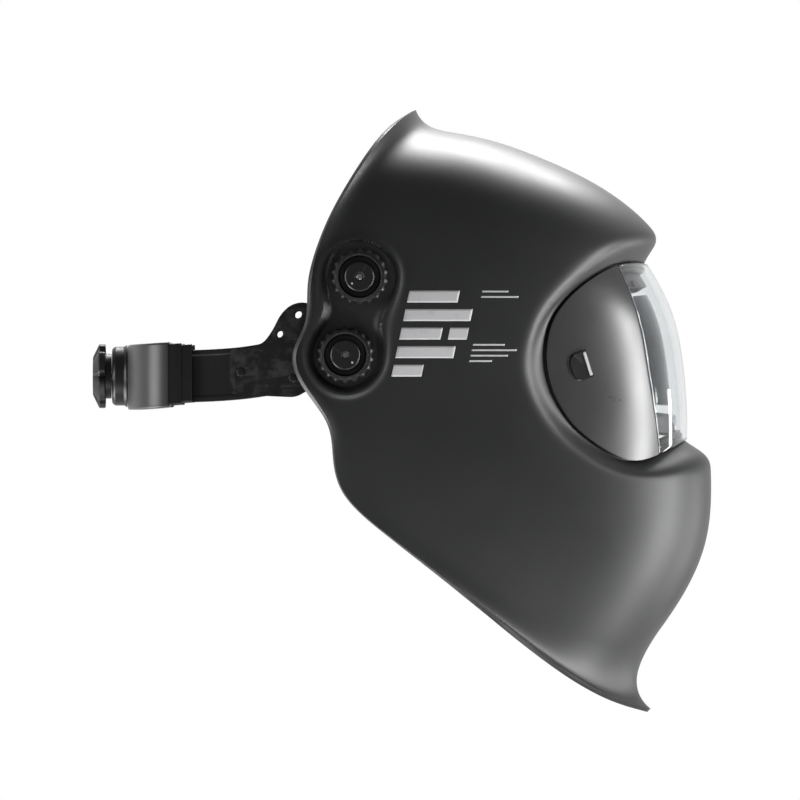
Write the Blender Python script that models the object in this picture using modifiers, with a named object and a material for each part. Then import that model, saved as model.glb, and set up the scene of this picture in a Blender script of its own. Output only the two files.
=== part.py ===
"""Welding helmet: a flared shell with a wrap-round visor, turning on a ratchet head harness.

Frame: the origin is midway between the two pivot knobs, on the axis that the shell turns about.
+X points forward, +Y to the wearer's left and +Z up. Units are metres; the tables are in millimetres.
"""

import math

import bmesh
import bpy
import numpy as np
from mathutils import Matrix

MM = 0.001
GAP = 0.3

# Turns from a profile's plane or an outline's plane to the axis that it is made along.
TURN_X = Matrix.Rotation(math.radians(90), 4, "Y")
TURN_Y = Matrix.Rotation(math.radians(-90), 4, "X")
ACROSS = {
    "x": Matrix(((0, 0, 1, 0), (1, 0, 0, 0), (0, 1, 0, 0), (0, 0, 0, 1))),
    "y": Matrix(((1, 0, 0, 0), (0, 0, 1, 0), (0, 1, 0, 0), (0, 0, 0, 1))),
    "z": Matrix.Identity(4),
}

# The shell's form is a dome over its side outline, seen from a point behind the head.
# Each row: angle above the horizontal (degrees), radius of the centre line, fullness of the cheek.
FORM_X = -90.0
HALF_WIDTH = 112.0
FORM = [
    (56.0, 159.0, 0.50),
    (48.0, 172.0, 0.47),
    (42.2, 182.5, 0.44),
    (35.3, 202.4, 0.40),
    (28.8, 222.0, 0.37),
    (21.8, 245.0, 0.33),
    (13.8, 267.0, 0.29),
    (0.0, 283.0, 0.21),
    (-10.8, 292.0, 0.15),
    (-19.3, 301.4, 0.12),
    (-30.5, 298.3, 0.10),
    (-45.0, 292.0, 0.10),
    (-56.0, 284.0, 0.10),
]
# The visor bulges on a smaller dome, sunk below the shell's.
VISOR_HALF_WIDTH = 108.0
VISOR_FORM = [
    (20.0, 240.0, 0.31),
    (11.0, 257.5, 0.27),
    (4.7, 267.5, 0.24),
    (-1.6, 272.6, 0.20),
    (-9.2, 277.7, 0.16),
    (-20.0, 282.0, 0.12),
]

# Loops run from the top centre (0) round one side to the chin (1): share, X, Z.
WINDOW_EDGE = [
    (0.00, 169.0, 62.4),
    (0.14, 149.6, 58.6),
    (0.22, 132.0, 48.2),
    (0.29, 116.6, 35.4),
    (0.36, 104.2, 19.4),
    (0.43, 97.9, 0.0),
    (0.50, 99.4, -17.0),
    (0.57, 107.5, -33.0),
    (0.65, 123.0, -48.8),
    (0.73, 144.2, -60.2),
    (0.81, 163.5, -63.4),
    (0.90, 182.0, -60.8),
    (1.00, 192.8, -53.7),
]
VISOR_EDGE = [
    (0.00, 162.8, 50.0),
    (0.14, 146.0, 49.2),
    (0.22, 130.5, 40.8),
    (0.29, 119.0, 31.0),
    (0.36, 110.3, 18.3),
    (0.43, 106.9, 2.0),
    (0.50, 109.0, -15.0),
    (0.57, 115.5, -29.3),
    (0.65, 128.0, -43.8),
    (0.73, 147.0, -55.6),
    (0.81, 161.0, -56.6),
    (0.90, 174.5, -51.2),
    (1.00, 183.6, -45.8),
]
FLARE_START = [
    (0.00, 54.0, 121.6),
    (0.08, 46.0, 117.6),
    (0.16, 27.0, 106.0),
    (0.23, 8.0, 84.0),
    (0.30, -6.0, 57.0),
    (0.345, -12.4, 38.0),
    (0.39, -14.5, 16.0),
    (0.43, -20.2, 0.8),
    (0.47, -16.5, -14.0),
    (0.52, -3.5, -31.0),
    (0.57, 2.0, -50.0),
    (0.625, 8.0, -70.0),
    (0.68, 29.0, -90.0),
    (0.745, 60.0, -112.0),
    (0.81, 92.0, -133.0),
    (0.88, 126.0, -152.0),
    (0.94, 152.0, -158.0),
    (1.00, 168.0, -150.0),
]
# The flared rim itself: share, X, half width, Z.
RIM = [
    (0.00, 37.8, 0.0, 132.6),
    (0.08, 32.0, 42.0, 128.6),
    (0.16, 17.8, 78.0, 114.2),
    (0.23, 0.5, 100.0, 88.3),
    (0.30, -13.5, 109.0, 59.9),
    (0.345, -18.4, 111.5, 38.0),
    (0.39, -20.5, 112.0, 16.0),
    (0.43, -26.2, 112.5, 0.8),
    (0.47, -22.5, 112.0, -14.0),
    (0.52, -9.5, 110.5, -34.0),
    (0.57, -5.9, 108.5, -51.0),
    (0.625, -0.5, 106.0, -73.7),
    (0.68, 22.0, 101.0, -95.5),
    (0.745, 52.9, 92.5, -119.1),
    (0.81, 83.0, 81.0, -142.5),
    (0.88, 115.0, 61.0, -167.0),
    (0.94, 141.0, 34.0, -182.6),
    (0.975, 156.5, 15.0, -188.6),
    (1.00, 164.5, 0.0, -190.6),
]
# How far the form carries on past the flare's start before it turns out: share, length.
FLARE_REACH = [
    (0.0, 12.5),
    (0.16, 8.0),
    (0.3, 4.0),
    (0.6, 4.0),
    (0.8, 12.0),
    (0.92, 22.0),
    (1.0, 34.0),
]

SHELL_THICKNESS = 2.5
LEDGE_DEPTH = 3.8
LEDGE_WIDTH = 5.2
LEDGE_WALL = 1.2
FLANGE_SINK = 3.6
FLANGE_PULL = 0.58

# The pod that holds the two knobs of a side.
PIVOT = (0.0, 0.0)
DIAL = (7.6, 41.9)
POD_RADIUS = 19.6
POD_WAIST = 27.2
POD_FLOOR = 105.5
POD_SLOPE = 2.8
POD_LIP = 1.3
KNOB_RADIUS = 15.3
KNOB_TOP = 115.0
KNOB_LIFT = 1.6
KNOB_FLUTES = 18
SHAFT_RADIUS = 1.7
BOLT_RADIUS = 3.0

# The visor's parts.
VISOR_MIDDLE = 1.0
VISOR_REACH = 52.0
VISOR_REACH_ACROSS = 120.0
VISOR_MARGIN = 0.8
SEAM_ROLL = 22.3
SEAM_GAP = math.radians(0.09)
SEAM_STEPS = 8
CHEEK_THICKNESS = 2.0
LENS_THICKNESS = 2.0
SEAL_INSET = 2.6
SEAL_THICKNESS = 0.6
LATCH = (125.7, -5.9)
LATCH_SIZE = (11.0, 14.6)
LATCH_LEAN = math.radians(12.0)
LATCH_CORNER = 5.2
FILTER_OPENING = (17.5, -6.8, 8.4)
FILTER_OUTSIDE = (22.6, -9.2, 10.4)
FILTER_BACK = (20.6, -8.8, 9.6)
BATTERY = (40.0, 20.0)
CELL_RADIUS = 10.0
BOARD = (42.0, 42.0)

# The harness, seen from above: an oval band, open behind, that runs on into straight ends.
BAND_FRONT = 82.0
BAND_SIDE_MIDDLE = 78.0
BAND_THICKNESS = 2.0
BAND_HEIGHT = 28.0
# How the band's middle climbs towards the forehead: X, Z.
BAND_RISE = [
    (-95.0, -11.5),
    (-60.0, -10.0),
    (-30.0, -5.0),
    (0.0, 6.0),
    (30.0, 22.0),
    (60.0, 38.0),
    (85.0, 48.0),
]
STRAP_END = -91.0
STRAP_SLOPE = 0.12
STRAP_HALF_WIDTH = 9.0
STRAP_THICKNESS = 1.6
CROWN_PEGS = [(-7.0, 13.0), (16.0, 19.0)]
RIVETS = [(-56.0, -9.0), (-28.0, -12.0)]
PLATE_HOLES = [(-25.6, 22.0, 2.2), (-35.5, 11.5, 2.0)]
# The side plate's outline, from its lower rear corner up over the front and back.
PLATE_OUTLINE = [
    (-62.0, -21.0),
    (-62.0, 3.5),
    (-50.0, 5.2),
    (-44.3, 6.2),
    (-39.5, 12.5),
    (-34.8, 21.9),
    (-29.5, 27.0),
    (-22.7, 28.7),
    (-8.0, 24.0),
    (12.0, 19.0),
    (22.0, 10.0),
    (24.0, 0.0),
    (22.0, -10.0),
    (12.0, -17.0),
    (-6.0, -18.5),
    (-20.5, -18.4),
    (-27.2, -22.6),
]
PEG_RADIUS = 2.4
PLATE_IN = 81.5
PLATE_OUT = 84.0
CARRIAGE_OUT = 91.0
WASHER = (91.3, 93.3)
SLOT_HALF = 13.0

# The ratchet behind the head.
NAPE_Z = -11.1
NAPE_BACK = -117.7
NAPE_HALF = 76.0
NAPE_HEIGHT = 35.0
NAPE_MOUTH = -82.3
PINION_RADIUS = 4.0
PINION_TEETH = 8
RACK_X = (-114.0, -112.0)
# Turned parts of the ratchet: radius, X.
HOUSING_PROFILE = [
    (2.9, -126.2),
    (14.6, -126.2),
    (15.9, -124.6),
    (15.9, -119.6),
    (17.0, -118.0),
    (2.9, -118.0),
]
RATCHET_KNOB_PROFILE = [
    (2.7, -126.6),
    (12.1, -126.6),
    (12.1, -129.6),
    (17.3, -129.8),
    (17.3, -133.0),
    (10.2, -136.6),
    (5.2, -136.6),
    (4.8, -135.0),
    (2.7, -135.0),
]
SCREW_PROFILE = [
    (0.0, -134.3),
    (2.2, -134.3),
    (2.2, -135.3),
    (4.4, -135.3),
    (4.4, -136.3),
    (0.0, -136.3),
]
SIDES = (("right", -1), ("left", 1))

COLOURS = {
    "graphite": ((0.030, 0.031, 0.033), 0.42, 0.0),
    "black": ((0.012, 0.012, 0.013), 0.45, 0.0),
    "rubber": ((0.015, 0.015, 0.015), 0.85, 0.0),
    "grey": ((0.12, 0.12, 0.125), 0.40, 0.0),
    "clear": ((0.85, 0.88, 0.90), 0.05, 0.0),
    "glass": ((0.02, 0.03, 0.03), 0.05, 0.0),
    "steel": ((0.60, 0.60, 0.61), 0.28, 1.0),
    "cloth": ((0.03, 0.03, 0.032), 0.95, 0.0),
    "board": ((0.02, 0.10, 0.05), 0.55, 0.0),
    "cell": ((0.02, 0.02, 0.05), 0.20, 0.0),
}


# ---------------------------------------------------------------- scene and mesh helpers


def start_scene():
    for obj in list(bpy.data.objects):
        bpy.data.objects.remove(obj, do_unlink=True)
    parts = bpy.data.collections.new("welding_helmet")
    cutters = bpy.data.collections.new("cutters")
    bpy.context.scene.collection.children.link(parts)
    bpy.context.scene.collection.children.link(cutters)
    cutters.hide_render = True
    return parts, cutters


PARTS, CUTTERS = start_scene()


def material(node, colour):
    base, roughness, metallic = COLOURS[colour]
    made = bpy.data.materials.new(node)
    made.use_nodes = True
    shader = made.node_tree.nodes["Principled BSDF"]
    shader.inputs["Base Color"].default_value = (*base, 1.0)
    shader.inputs["Roughness"].default_value = roughness
    shader.inputs["Metallic"].default_value = metallic
    return made


def add_part(name, mesh, colour):
    mesh.shade_smooth()
    mesh.set_sharp_from_angle(angle=math.radians(35))
    obj = bpy.data.objects.new(name, mesh)
    PARTS.objects.link(obj)
    mesh.materials.append(material(name, colour))
    return obj


def add_cutter(name, mesh):
    obj = bpy.data.objects.new(name, mesh)
    CUTTERS.objects.link(obj)
    obj.hide_render = True
    obj.display_type = "WIRE"
    return obj


def new_mesh(name, vertices, faces):
    """A mesh from vertices in millimetres."""
    mesh = bpy.data.meshes.new(name)
    mesh.from_pydata([tuple(MM * float(c) for c in v) for v in vertices], [], faces)
    mesh.validate()
    return mesh


def tidy_mesh(mesh, outward=True):
    """Merge what coincides and face a closed mesh outwards."""
    bm = bmesh.new()
    bm.from_mesh(mesh)
    bmesh.ops.remove_doubles(bm, verts=bm.verts, dist=1e-6)
    if outward:
        bmesh.ops.recalc_face_normals(bm, faces=bm.faces)
    bm.to_mesh(mesh)
    bm.free()
    return mesh


def sheet_mesh(name, grid, inside):
    """An open sheet through a grid of points, facing away from the point inside."""
    grid = np.asarray(grid, float)
    rows, columns = grid.shape[:2]
    faces = []
    for i in range(rows - 1):
        for j in range(columns - 1):
            a = i * columns + j
            faces.append((a, a + columns, a + columns + 1, a + 1))
    i, j = (rows - 1) // 2, (columns - 1) // 2
    across = np.cross(grid[i + 1, j] - grid[i, j], grid[i, j + 1] - grid[i, j])
    if np.dot(across, grid[i, j] - np.array(inside)) < 0:
        faces = [face[::-1] for face in faces]
    mesh = new_mesh(name, grid.reshape(-1, 3), faces)
    return tidy_mesh(mesh, outward=False)


def loft_mesh(name, sections):
    """A closed solid through sections that each hold the same number of points, in order."""
    sections = np.asarray(sections, float)
    count, around = sections.shape[:2]
    faces = []
    for i in range(count - 1):
        for j in range(around):
            a = i * around + j
            b = i * around + (j + 1) % around
            faces.append((a, a + around, b + around, b))
    faces.append(tuple(range(around)))
    faces.append(tuple(range((count - 1) * around, count * around))[::-1])
    mesh = new_mesh(name, sections.reshape(-1, 3), faces)
    return tidy_mesh(mesh)


def disc_mesh(name, axis, start, end, radius, centre, segments=24):
    """A cylinder along X or Y, between start and end, its other two coordinates at centre."""
    bm = bmesh.new()
    bmesh.ops.create_cone(
        bm,
        cap_ends=True,
        segments=segments,
        radius1=MM * radius,
        radius2=MM * radius,
        depth=MM * abs(end - start),
    )
    middle = (start + end) / 2
    if axis == "x":
        turn, place = TURN_X, (middle, centre[0], centre[1])
    else:
        turn, place = TURN_Y, (centre[0], middle, centre[1])
    bmesh.ops.transform(bm, matrix=turn, verts=bm.verts)
    bmesh.ops.translate(bm, vec=[MM * c for c in place], verts=bm.verts)
    mesh = bpy.data.meshes.new(name)
    bm.to_mesh(mesh)
    bm.free()
    return mesh


def outline_mesh(name, outline, axis, start, end):
    """A flat outline, in the plane across the axis, extruded from start to end."""
    curve = bpy.data.curves.new(name, "CURVE")
    curve.dimensions = "2D"
    curve.fill_mode = "BOTH"
    curve.extrude = MM * (end - start) / 2
    line = curve.splines.new("POLY")
    line.points.add(len(outline) - 1)
    for point, (u, v) in zip(line.points, outline):
        point.co = (MM * u, MM * v, 0.0, 1.0)
    line.use_cyclic_u = True
    drawn = bpy.data.objects.new(name, curve)
    mesh = bpy.data.meshes.new_from_object(drawn)
    bpy.data.objects.remove(drawn)
    mesh.transform(Matrix.Translation((0.0, 0.0, MM * (start + end) / 2)))
    mesh.transform(ACROSS[axis])
    return tidy_mesh(mesh)


# Turns a drawing in XY, thick along Z, so that its thickness runs along the named axis.
def modify(obj, name, kind, **settings):
    modifier = obj.modifiers.new(name, kind)
    for key, value in settings.items():
        setattr(modifier, key, value)
    return modifier


def solidify(obj, thickness):
    modify(obj, "thickness", "SOLIDIFY", thickness=MM * thickness, offset=-1.0, use_even_offset=True)


def turned_part(name, profile, axis, centre, colour, segments=24):
    """A part turned from (radius, height) points; a profile that starts off the axis makes a ring."""
    points = [(MM * radius, 0.0, MM * height) for radius, height in profile]
    edges = [(k, k + 1) for k in range(len(points) - 1)]
    ring = profile[0][0] > 0
    if ring:
        edges.append((len(points) - 1, 0))
    mesh = bpy.data.meshes.new(name)
    mesh.from_pydata(points, edges, [])
    obj = add_part(name, mesh, colour)
    following = profile[1:] + profile[:1]
    area = sum(a[0] * b[1] - b[0] * a[1] for a, b in zip(profile, following))
    modify(
        obj,
        "turned",
        "SCREW",
        steps=segments,
        render_steps=segments,
        use_merge_vertices=True,
        merge_threshold=1e-6,
        use_normal_flip=area > 0,
        use_smooth_shade=False,
    )
    if axis == "x":
        obj.matrix_world = Matrix.Translation((0.0, MM * centre[0], MM * centre[1])) @ TURN_X
    else:
        obj.matrix_world = Matrix.Translation((MM * centre[0], 0.0, MM * centre[1])) @ TURN_Y
    return obj


def cut(obj, *cutters):
    for cutter in cutters:
        modify(obj, "cut " + cutter.name, "BOOLEAN", object=cutter, operation="DIFFERENCE")


def bevel(obj, width, segments=1):
    modify(obj, "edges", "BEVEL", width=MM * width, segments=segments, limit_method="ANGLE")


def arc(centre, radius, start, end, count):
    """Points on an arc in degrees, ends included."""
    angles = np.radians(np.linspace(start, end, count))
    return [(centre[0] + radius * math.cos(a), centre[1] + radius * math.sin(a)) for a in angles]


def evenly(outline, count):
    """A closed outline with evenly spaced points, the first one repeated at the end."""
    points = np.array(outline + outline[:1], float)
    along = np.concatenate([[0], np.cumsum(np.linalg.norm(np.diff(points, axis=0), axis=1))])
    at = np.linspace(0, along[-1], count + 1)
    return np.stack([np.interp(at, along, points[:, k]) for k in range(2)], axis=-1)


def rounded_box(half_u, half_v, corner, centre=(0.0, 0.0), steps=4):
    outline = []
    for su, sv, first in ((1, 1, 0), (-1, 1, 90), (-1, -1, 180), (1, -1, 270)):
        middle = (centre[0] + su * (half_u - corner), centre[1] + sv * (half_v - corner))
        outline += arc(middle, corner, first, first + 90, steps)
    return outline


# ---------------------------------------------------------------- the shell's form


def spline(knots, values, at):
    """A natural cubic spline through the knots, evaluated at a list of places."""
    x, y, at = (np.asarray(v, float) for v in (knots, values, at))
    if x[0] > x[-1]:
        x, y = x[::-1], y[::-1]
    n = len(x)
    step = np.diff(x)
    system = np.eye(n)
    right = np.zeros(n)
    for i in range(1, n - 1):
        system[i, i - 1 : i + 2] = step[i - 1], 2 * (step[i - 1] + step[i]), step[i]
        right[i] = 6 * ((y[i + 1] - y[i]) / step[i] - (y[i] - y[i - 1]) / step[i - 1])
    bend = np.linalg.solve(system, right)
    k = np.clip(np.searchsorted(x, at) - 1, 0, n - 2)
    a, b = x[k + 1] - at, at - x[k]
    curve = (bend[k] * a**3 + bend[k + 1] * b**3) / (6 * step[k])
    line = (y[k] / step[k] - bend[k] * step[k] / 6) * a
    return curve + line + (y[k + 1] / step[k] - bend[k + 1] * step[k] / 6) * b


def loop_spline(shares, values, at, odd=False):
    """A spline along one side of a loop, smooth where it meets its mirror image at both ends."""
    s, v = np.asarray(shares, float), np.asarray(values, float)
    sign = -1.0 if odd else 1.0
    s = np.concatenate([-s[3:0:-1], s, 2 - s[-2:-5:-1]])
    v = np.concatenate([sign * v[3:0:-1], v, sign * v[-2:-5:-1]])
    return spline(s, v, at)


class Dome:
    """A dome over a side outline: (angle, radius, fullness) rows and the half width behind."""

    def __init__(self, rows, half_width):
        self.angles, self.radii, self.fullness = np.array(rows, float).T
        self.half_width = half_width

    def point(self, roll, angle, inset=0.0):
        """The point at a roll from the centre plane (radians) and an angle (degrees), side at -Y."""
        radius = spline(self.angles, self.radii, angle) - inset
        full = spline(self.angles, self.fullness, angle)
        across = (self.half_width - inset) * np.sin(roll) * (1 + full * np.cos(roll) ** 2)
        out = radius * np.cos(roll)
        tilt = np.radians(angle)
        return np.stack([FORM_X + out * np.cos(tilt), -across, out * np.sin(tilt)], axis=-1)

    def place(self, x, z):
        """The roll and angle of the point at x, z in the side view."""
        x, z = np.asarray(x, float), np.asarray(z, float)
        angle = np.degrees(np.arctan2(z, x - FORM_X))
        share = np.hypot(x - FORM_X, z) / spline(self.angles, self.radii, angle)
        return np.arccos(np.clip(share, -1, 1)), angle

    def loop(self, table, at):
        """Roll and angle along a loop given by X and Z, smooth over the centre plane."""
        shares, x, z = np.array(table, float).T
        roll, angle = self.place(x, z)
        roll[[0, -1]] = 0.0
        return loop_spline(shares, roll, at, odd=True), loop_spline(shares, angle, at)


SHELL_DOME = Dome(FORM, HALF_WIDTH)
VISOR_DOME = Dome(VISOR_FORM, VISOR_HALF_WIDTH)


def bezier(a, b, c, at):
    at = np.asarray(at, float)[:, None, None]
    return (1 - at) ** 2 * a + 2 * at * (1 - at) * b + at**2 * c


def pod_distance(x, z):
    """Distance outside the figure-eight outline of the pod, negative inside."""
    lower = np.hypot(x - PIVOT[0], z - PIVOT[1]) - POD_RADIUS
    upper = np.hypot(x - DIAL[0], z - DIAL[1]) - POD_RADIUS
    mix = np.clip(0.5 + 0.5 * (upper - lower) / POD_WAIST, 0, 1)
    return upper * (1 - mix) + lower * mix - POD_WAIST * mix * (1 - mix)


def smooth_step(v):
    v = np.clip(v, 0, 1)
    return v * v * (3 - 2 * v)


def press_pod(points):
    """Sink the pod's flat floor into the side and raise a soft lip round it."""
    away = pod_distance(points[..., 0], points[..., 2])
    sunk = smooth_step(-away / POD_SLOPE)
    lip = POD_LIP * np.exp(-((away - 1.5) / 2.0) ** 2)
    side = points[..., 1] - lip * (away > 0)
    points[..., 1] = side * (1 - sunk) - POD_FLOOR * sunk
    return points


def inward(roll, angle, distance):
    """Draw a place on the visor towards its middle by a distance in millimetres."""
    share = 1 - distance / VISOR_REACH
    return roll * (1 - distance / VISOR_REACH_ACROSS), VISOR_MIDDLE + (angle - VISOR_MIDDLE) * share


def shell_grid(shares, ledge, flange, body, flare):
    """Points of one side of the shell, from the visor's ledge out to the rim, for each share."""
    visor_roll, visor_angle = VISOR_DOME.loop(VISOR_EDGE, shares)
    edge_roll, edge_angle = SHELL_DOME.loop(WINDOW_EDGE, shares)
    start_roll, start_angle = SHELL_DOME.loop(FLARE_START, shares)
    inner = VISOR_DOME.point(*inward(visor_roll, visor_angle, LEDGE_WIDTH), LEDGE_DEPTH)
    corner = VISOR_DOME.point(visor_roll, visor_angle, LEDGE_DEPTH)
    lip = VISOR_DOME.point(visor_roll, visor_angle, LEDGE_WALL)
    edge = SHELL_DOME.point(edge_roll, edge_angle)
    foot = SHELL_DOME.point(edge_roll, edge_angle, FLANGE_SINK)
    steps = np.asarray(ledge, float)[:, None, None]
    rows = [inner * (1 - steps) + corner * steps]
    rows.append(bezier(lip, lip * (1 - FLANGE_PULL) + foot * FLANGE_PULL, edge, flange))
    t = np.asarray(body, float)[:, None]
    rows.append(
        SHELL_DOME.point(
            edge_roll + (start_roll - edge_roll) * t, edge_angle + (start_angle - edge_angle) * t
        )
    )
    start = SHELL_DOME.point(start_roll, start_angle)
    before = SHELL_DOME.point(
        edge_roll + (start_roll - edge_roll) * 0.98, edge_angle + (start_angle - edge_angle) * 0.98
    )
    heading = (start - before) / np.linalg.norm(start - before, axis=-1, keepdims=True)
    reach = np.interp(shares, *np.array(FLARE_REACH).T)[:, None]
    s, x, half, z = np.array(RIM).T
    rim = np.stack(
        [
            loop_spline(s, x, shares),
            -loop_spline(s, half, shares, odd=True),
            loop_spline(s, z, shares),
        ],
        axis=-1,
    )
    rows.append(bezier(start, start + heading * reach, rim, flare))
    grid = press_pod(np.concatenate(rows))
    ends = [i for i, s in enumerate(shares) if s in (0.0, 1.0)]
    grid[:, ends, 1] = 0.0
    return grid


def mirrored_sheet(name, grid, inside, colour):
    obj = add_part(name, sheet_mesh(name, grid, inside), colour)
    modify(
        obj,
        "other side",
        "MIRROR",
        use_axis=(False, True, False),
        use_mirror_merge=True,
        merge_threshold=1e-5,
    )
    return obj


def side_axis_cutters(name, places, radius, start, end):
    """Round cutters across both sides, at each place in the side view."""
    found = []
    for k, place in enumerate(places):
        for side, sign in SIDES:
            label = f"{name}_{side}_{k}"
            drill = disc_mesh(label, "y", sign * start, sign * end, radius, place, 16)
            found.append(add_cutter(label, drill))
    return found


def helmet_shell():
    shares = np.concatenate(
        [
            np.linspace(0, 0.24, 7)[:-1],
            np.linspace(0.24, 0.49, 17)[:-1],
            np.linspace(0.49, 0.72, 6)[:-1],
            np.linspace(0.72, 1.0, 11),
        ]
    )
    body = np.concatenate([np.linspace(0, 0.6, 5)[1:-1], np.linspace(0.6, 1.0, 10)])
    grid = shell_grid(shares, (0.0, 1.0), (0.0, 0.5, 1.0), body, (0.4, 0.75, 1.0))
    shell = mirrored_sheet("helmet_shell", grid, (60.0, 0.0, 0.0), "graphite")
    solidify(shell, SHELL_THICKNESS)
    cut(shell, *side_axis_cutters("shaft_hole", [PIVOT, DIAL], BOLT_RADIUS + 1.0, 92, 112))


# ---------------------------------------------------------------- the visor


def seam_roll(angle):
    """Roll of the seam between the clear lens and each cheek, in radians."""
    return np.radians(SEAM_ROLL - 0.022 * (np.asarray(angle, float) - VISOR_MIDDLE) ** 2)


def visor_edge(distance, count=401):
    """Roll and angle along the visor's edge, drawn in by a distance."""
    shares = np.linspace(0, 1, count)
    return inward(*VISOR_DOME.loop(VISOR_EDGE, shares), distance)


def cheek_grid(down, across):
    """A cheek: rows run down the seam and the visor's edge, columns from the seam outwards."""
    roll, angle = visor_edge(VISOR_MARGIN)
    beyond = np.nonzero(roll > seam_roll(angle) + SEAM_GAP)[0]
    places = beyond[0] + (beyond[-1] - beyond[0]) * np.asarray(down, float)
    steps = np.arange(len(roll))
    edge_roll, edge_angle = np.interp(places, steps, roll), np.interp(places, steps, angle)
    seam_angle = edge_angle[0] + (edge_angle[-1] - edge_angle[0]) * np.asarray(down, float)
    seam = seam_roll(seam_angle) + SEAM_GAP
    t = np.asarray(across, float)[:, None]
    roll = seam + (edge_roll - seam) * t
    return VISOR_DOME.point(roll, seam_angle + (edge_angle - seam_angle) * t)


def lens_grid(down, across):
    """Half of the clear lens, columns from the centre plane to the seam."""
    roll, angle = visor_edge(VISOR_MARGIN)
    peak = int(np.argmax(roll))
    rows = []
    for u in across:
        top, low = angle[0], angle[-1]
        for _ in range(SEAM_STEPS):
            top = np.interp(u * (seam_roll(top) - SEAM_GAP), roll[:peak], angle[:peak])
            low = np.interp(u * (seam_roll(low) - SEAM_GAP), roll[:peak:-1], angle[:peak:-1])
        place = top + (low - top) * np.asarray(down, float)
        rows.append(VISOR_DOME.point(u * (seam_roll(place) - SEAM_GAP), place))
    return np.array(rows)


def visor_patch(rolls, angles, inset, across=7, down=7):
    """A patch of the visor's dome between two rolls and two angles in degrees."""
    roll, angle = np.meshgrid(np.radians(np.linspace(*rolls, across)), np.linspace(*angles, down))
    return VISOR_DOME.point(roll, angle, inset)


def patch_part(name, rolls, angles, inset, thickness, colour, across=7, down=7):
    mesh = sheet_mesh(name, visor_patch(rolls, angles, inset, across, down), (60.0, 0.0, 0.0))
    obj = add_part(name, mesh, colour)
    solidify(obj, thickness)
    return obj


def frame_part(name, opening, outside, inset, thickness, colour):
    """A frame on the visor's dome between two rounded rectangles: roll, low angle, high angle."""
    loops = []
    for roll, low, high in (opening, outside):
        outline = rounded_box(roll, (high - low) / 2, 1.5, (0.0, (low + high) / 2))
        loops.append(evenly(outline, 44))
    rows = []
    for t in (0.0, 1.0):
        place = loops[0] * (1 - t) + loops[1] * t
        rows.append(VISOR_DOME.point(np.radians(place[:, 0]), place[:, 1], inset))
    obj = add_part(name, sheet_mesh(name, np.array(rows), (60.0, 0.0, 0.0)), colour)
    solidify(obj, thickness)
    return obj


def latch_turn(side):
    """The frame of a latch: its own Z points out of the cheek, its Y up."""
    roll, angle = VISOR_DOME.place(*LATCH)
    here = VISOR_DOME.point(roll, angle)
    ahead = VISOR_DOME.point(roll - 0.01, angle) - here
    above = VISOR_DOME.point(roll, angle + 0.5) - here
    out = np.cross(ahead, above)
    out /= np.linalg.norm(out)
    if out[1] > 0:
        out = -out
    up = above / np.linalg.norm(above)
    across = np.cross(up, out)
    lean, level = math.sin(LATCH_LEAN), math.cos(LATCH_LEAN)
    across, up = across * level + up * lean, up * level - across * lean
    turn = Matrix([(*row, MM * h) for row, h in zip(np.array([across, up, out]).T, here)])
    turn.resize_4x4()
    turn[3] = (0, 0, 0, 1)
    if side == "left":
        flip = Matrix.Scale(-1, 4, (0, 1, 0))
        turn = flip @ turn @ Matrix.Scale(-1, 4, (1, 0, 0))
    return turn


def latch_outline(grow=0.0):
    """A D: straight at the front, round behind."""
    front, half = LATCH_SIZE[0] / 2 + grow, LATCH_SIZE[1] / 2 + grow
    outline = [(front, -half), (front, half)]
    for side, first in ((1, 90), (-1, 180)):
        centre = (LATCH_CORNER - front, side * (half - LATCH_CORNER))
        outline += arc(centre, LATCH_CORNER, first, first + 90, 4)
    return outline


def latch_mesh(name, side, start, end, grow=0.0):
    mesh = outline_mesh(name, latch_outline(grow), "z", start, end)
    mesh.transform(latch_turn(side))
    return tidy_mesh(mesh)


def visor():
    down, across = np.linspace(0, 1, 15), (0.0, 0.2, 0.4, 0.6, 0.8, 1.0)
    for side, sign in (("right", 1), ("left", -1)):
        grid = cheek_grid(down, across) * (1, sign, 1)
        cheek = add_part(f"cheek_cover_{side}", sheet_mesh("cheek", grid, (60.0, 0.0, 0.0)), "grey")
        solidify(cheek, CHEEK_THICKNESS)
        cut(cheek, add_cutter(f"latch_hole_{side}", latch_mesh("hole", side, -6, 4, 0.5)))
        latch = add_part(f"lens_latch_{side}", latch_mesh("latch", side, -3.0, 1.6), "black")
        bevel(latch, 0.5)
    grid = lens_grid(np.linspace(0, 1, 9), np.linspace(0, 1, 9))
    lens = mirrored_sheet("cover_lens", grid, (60.0, 0.0, 0.0), "clear")
    solidify(lens, LENS_THICKNESS)
    shares = np.linspace(0, 1, 33)
    place = VISOR_DOME.loop(VISOR_EDGE, shares)
    seal = np.array([VISOR_DOME.point(*inward(*place, d), SEAL_INSET) for d in (1.2, 3.8)])
    seal[:, [0, -1], 1] = 0.0
    ring = mirrored_sheet("visor_seal", seal, (60.0, 0.0, 0.0), "rubber")
    solidify(ring, SEAL_THICKNESS)


def filter_cassette():
    """The darkening filter and its electronics, curved like the lens in front of it."""
    frame_part("filter_housing", FILTER_OPENING, FILTER_OUTSIDE, 7.0, 7.0, "black")
    patch_part("filter_glass", (-16.4, 16.4), (-5.8, 7.4), 9.0, 3.0, "glass", 9, 7)
    frame_part("filter_back_frame", FILTER_OPENING, FILTER_BACK, 15.8, 1.4, "black")
    patch_part("inner_cover_lens", (-20.0, 20.0), (-8.2, 9.0), 18.8, 1.0, "clear", 11, 7)
    patch_part("solar_cell", (-9.0, 9.0), (-8.0, -6.9), 5.9, 0.8, "cell", 7, 3)
    for side, low, high in (("right", 11.5, 14.5), ("left", -14.5, -11.5)):
        patch_part(f"light_sensor_{side}", (low, high), (8.5, 9.3), 5.9, 0.8, "glass", 3, 3)


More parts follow.
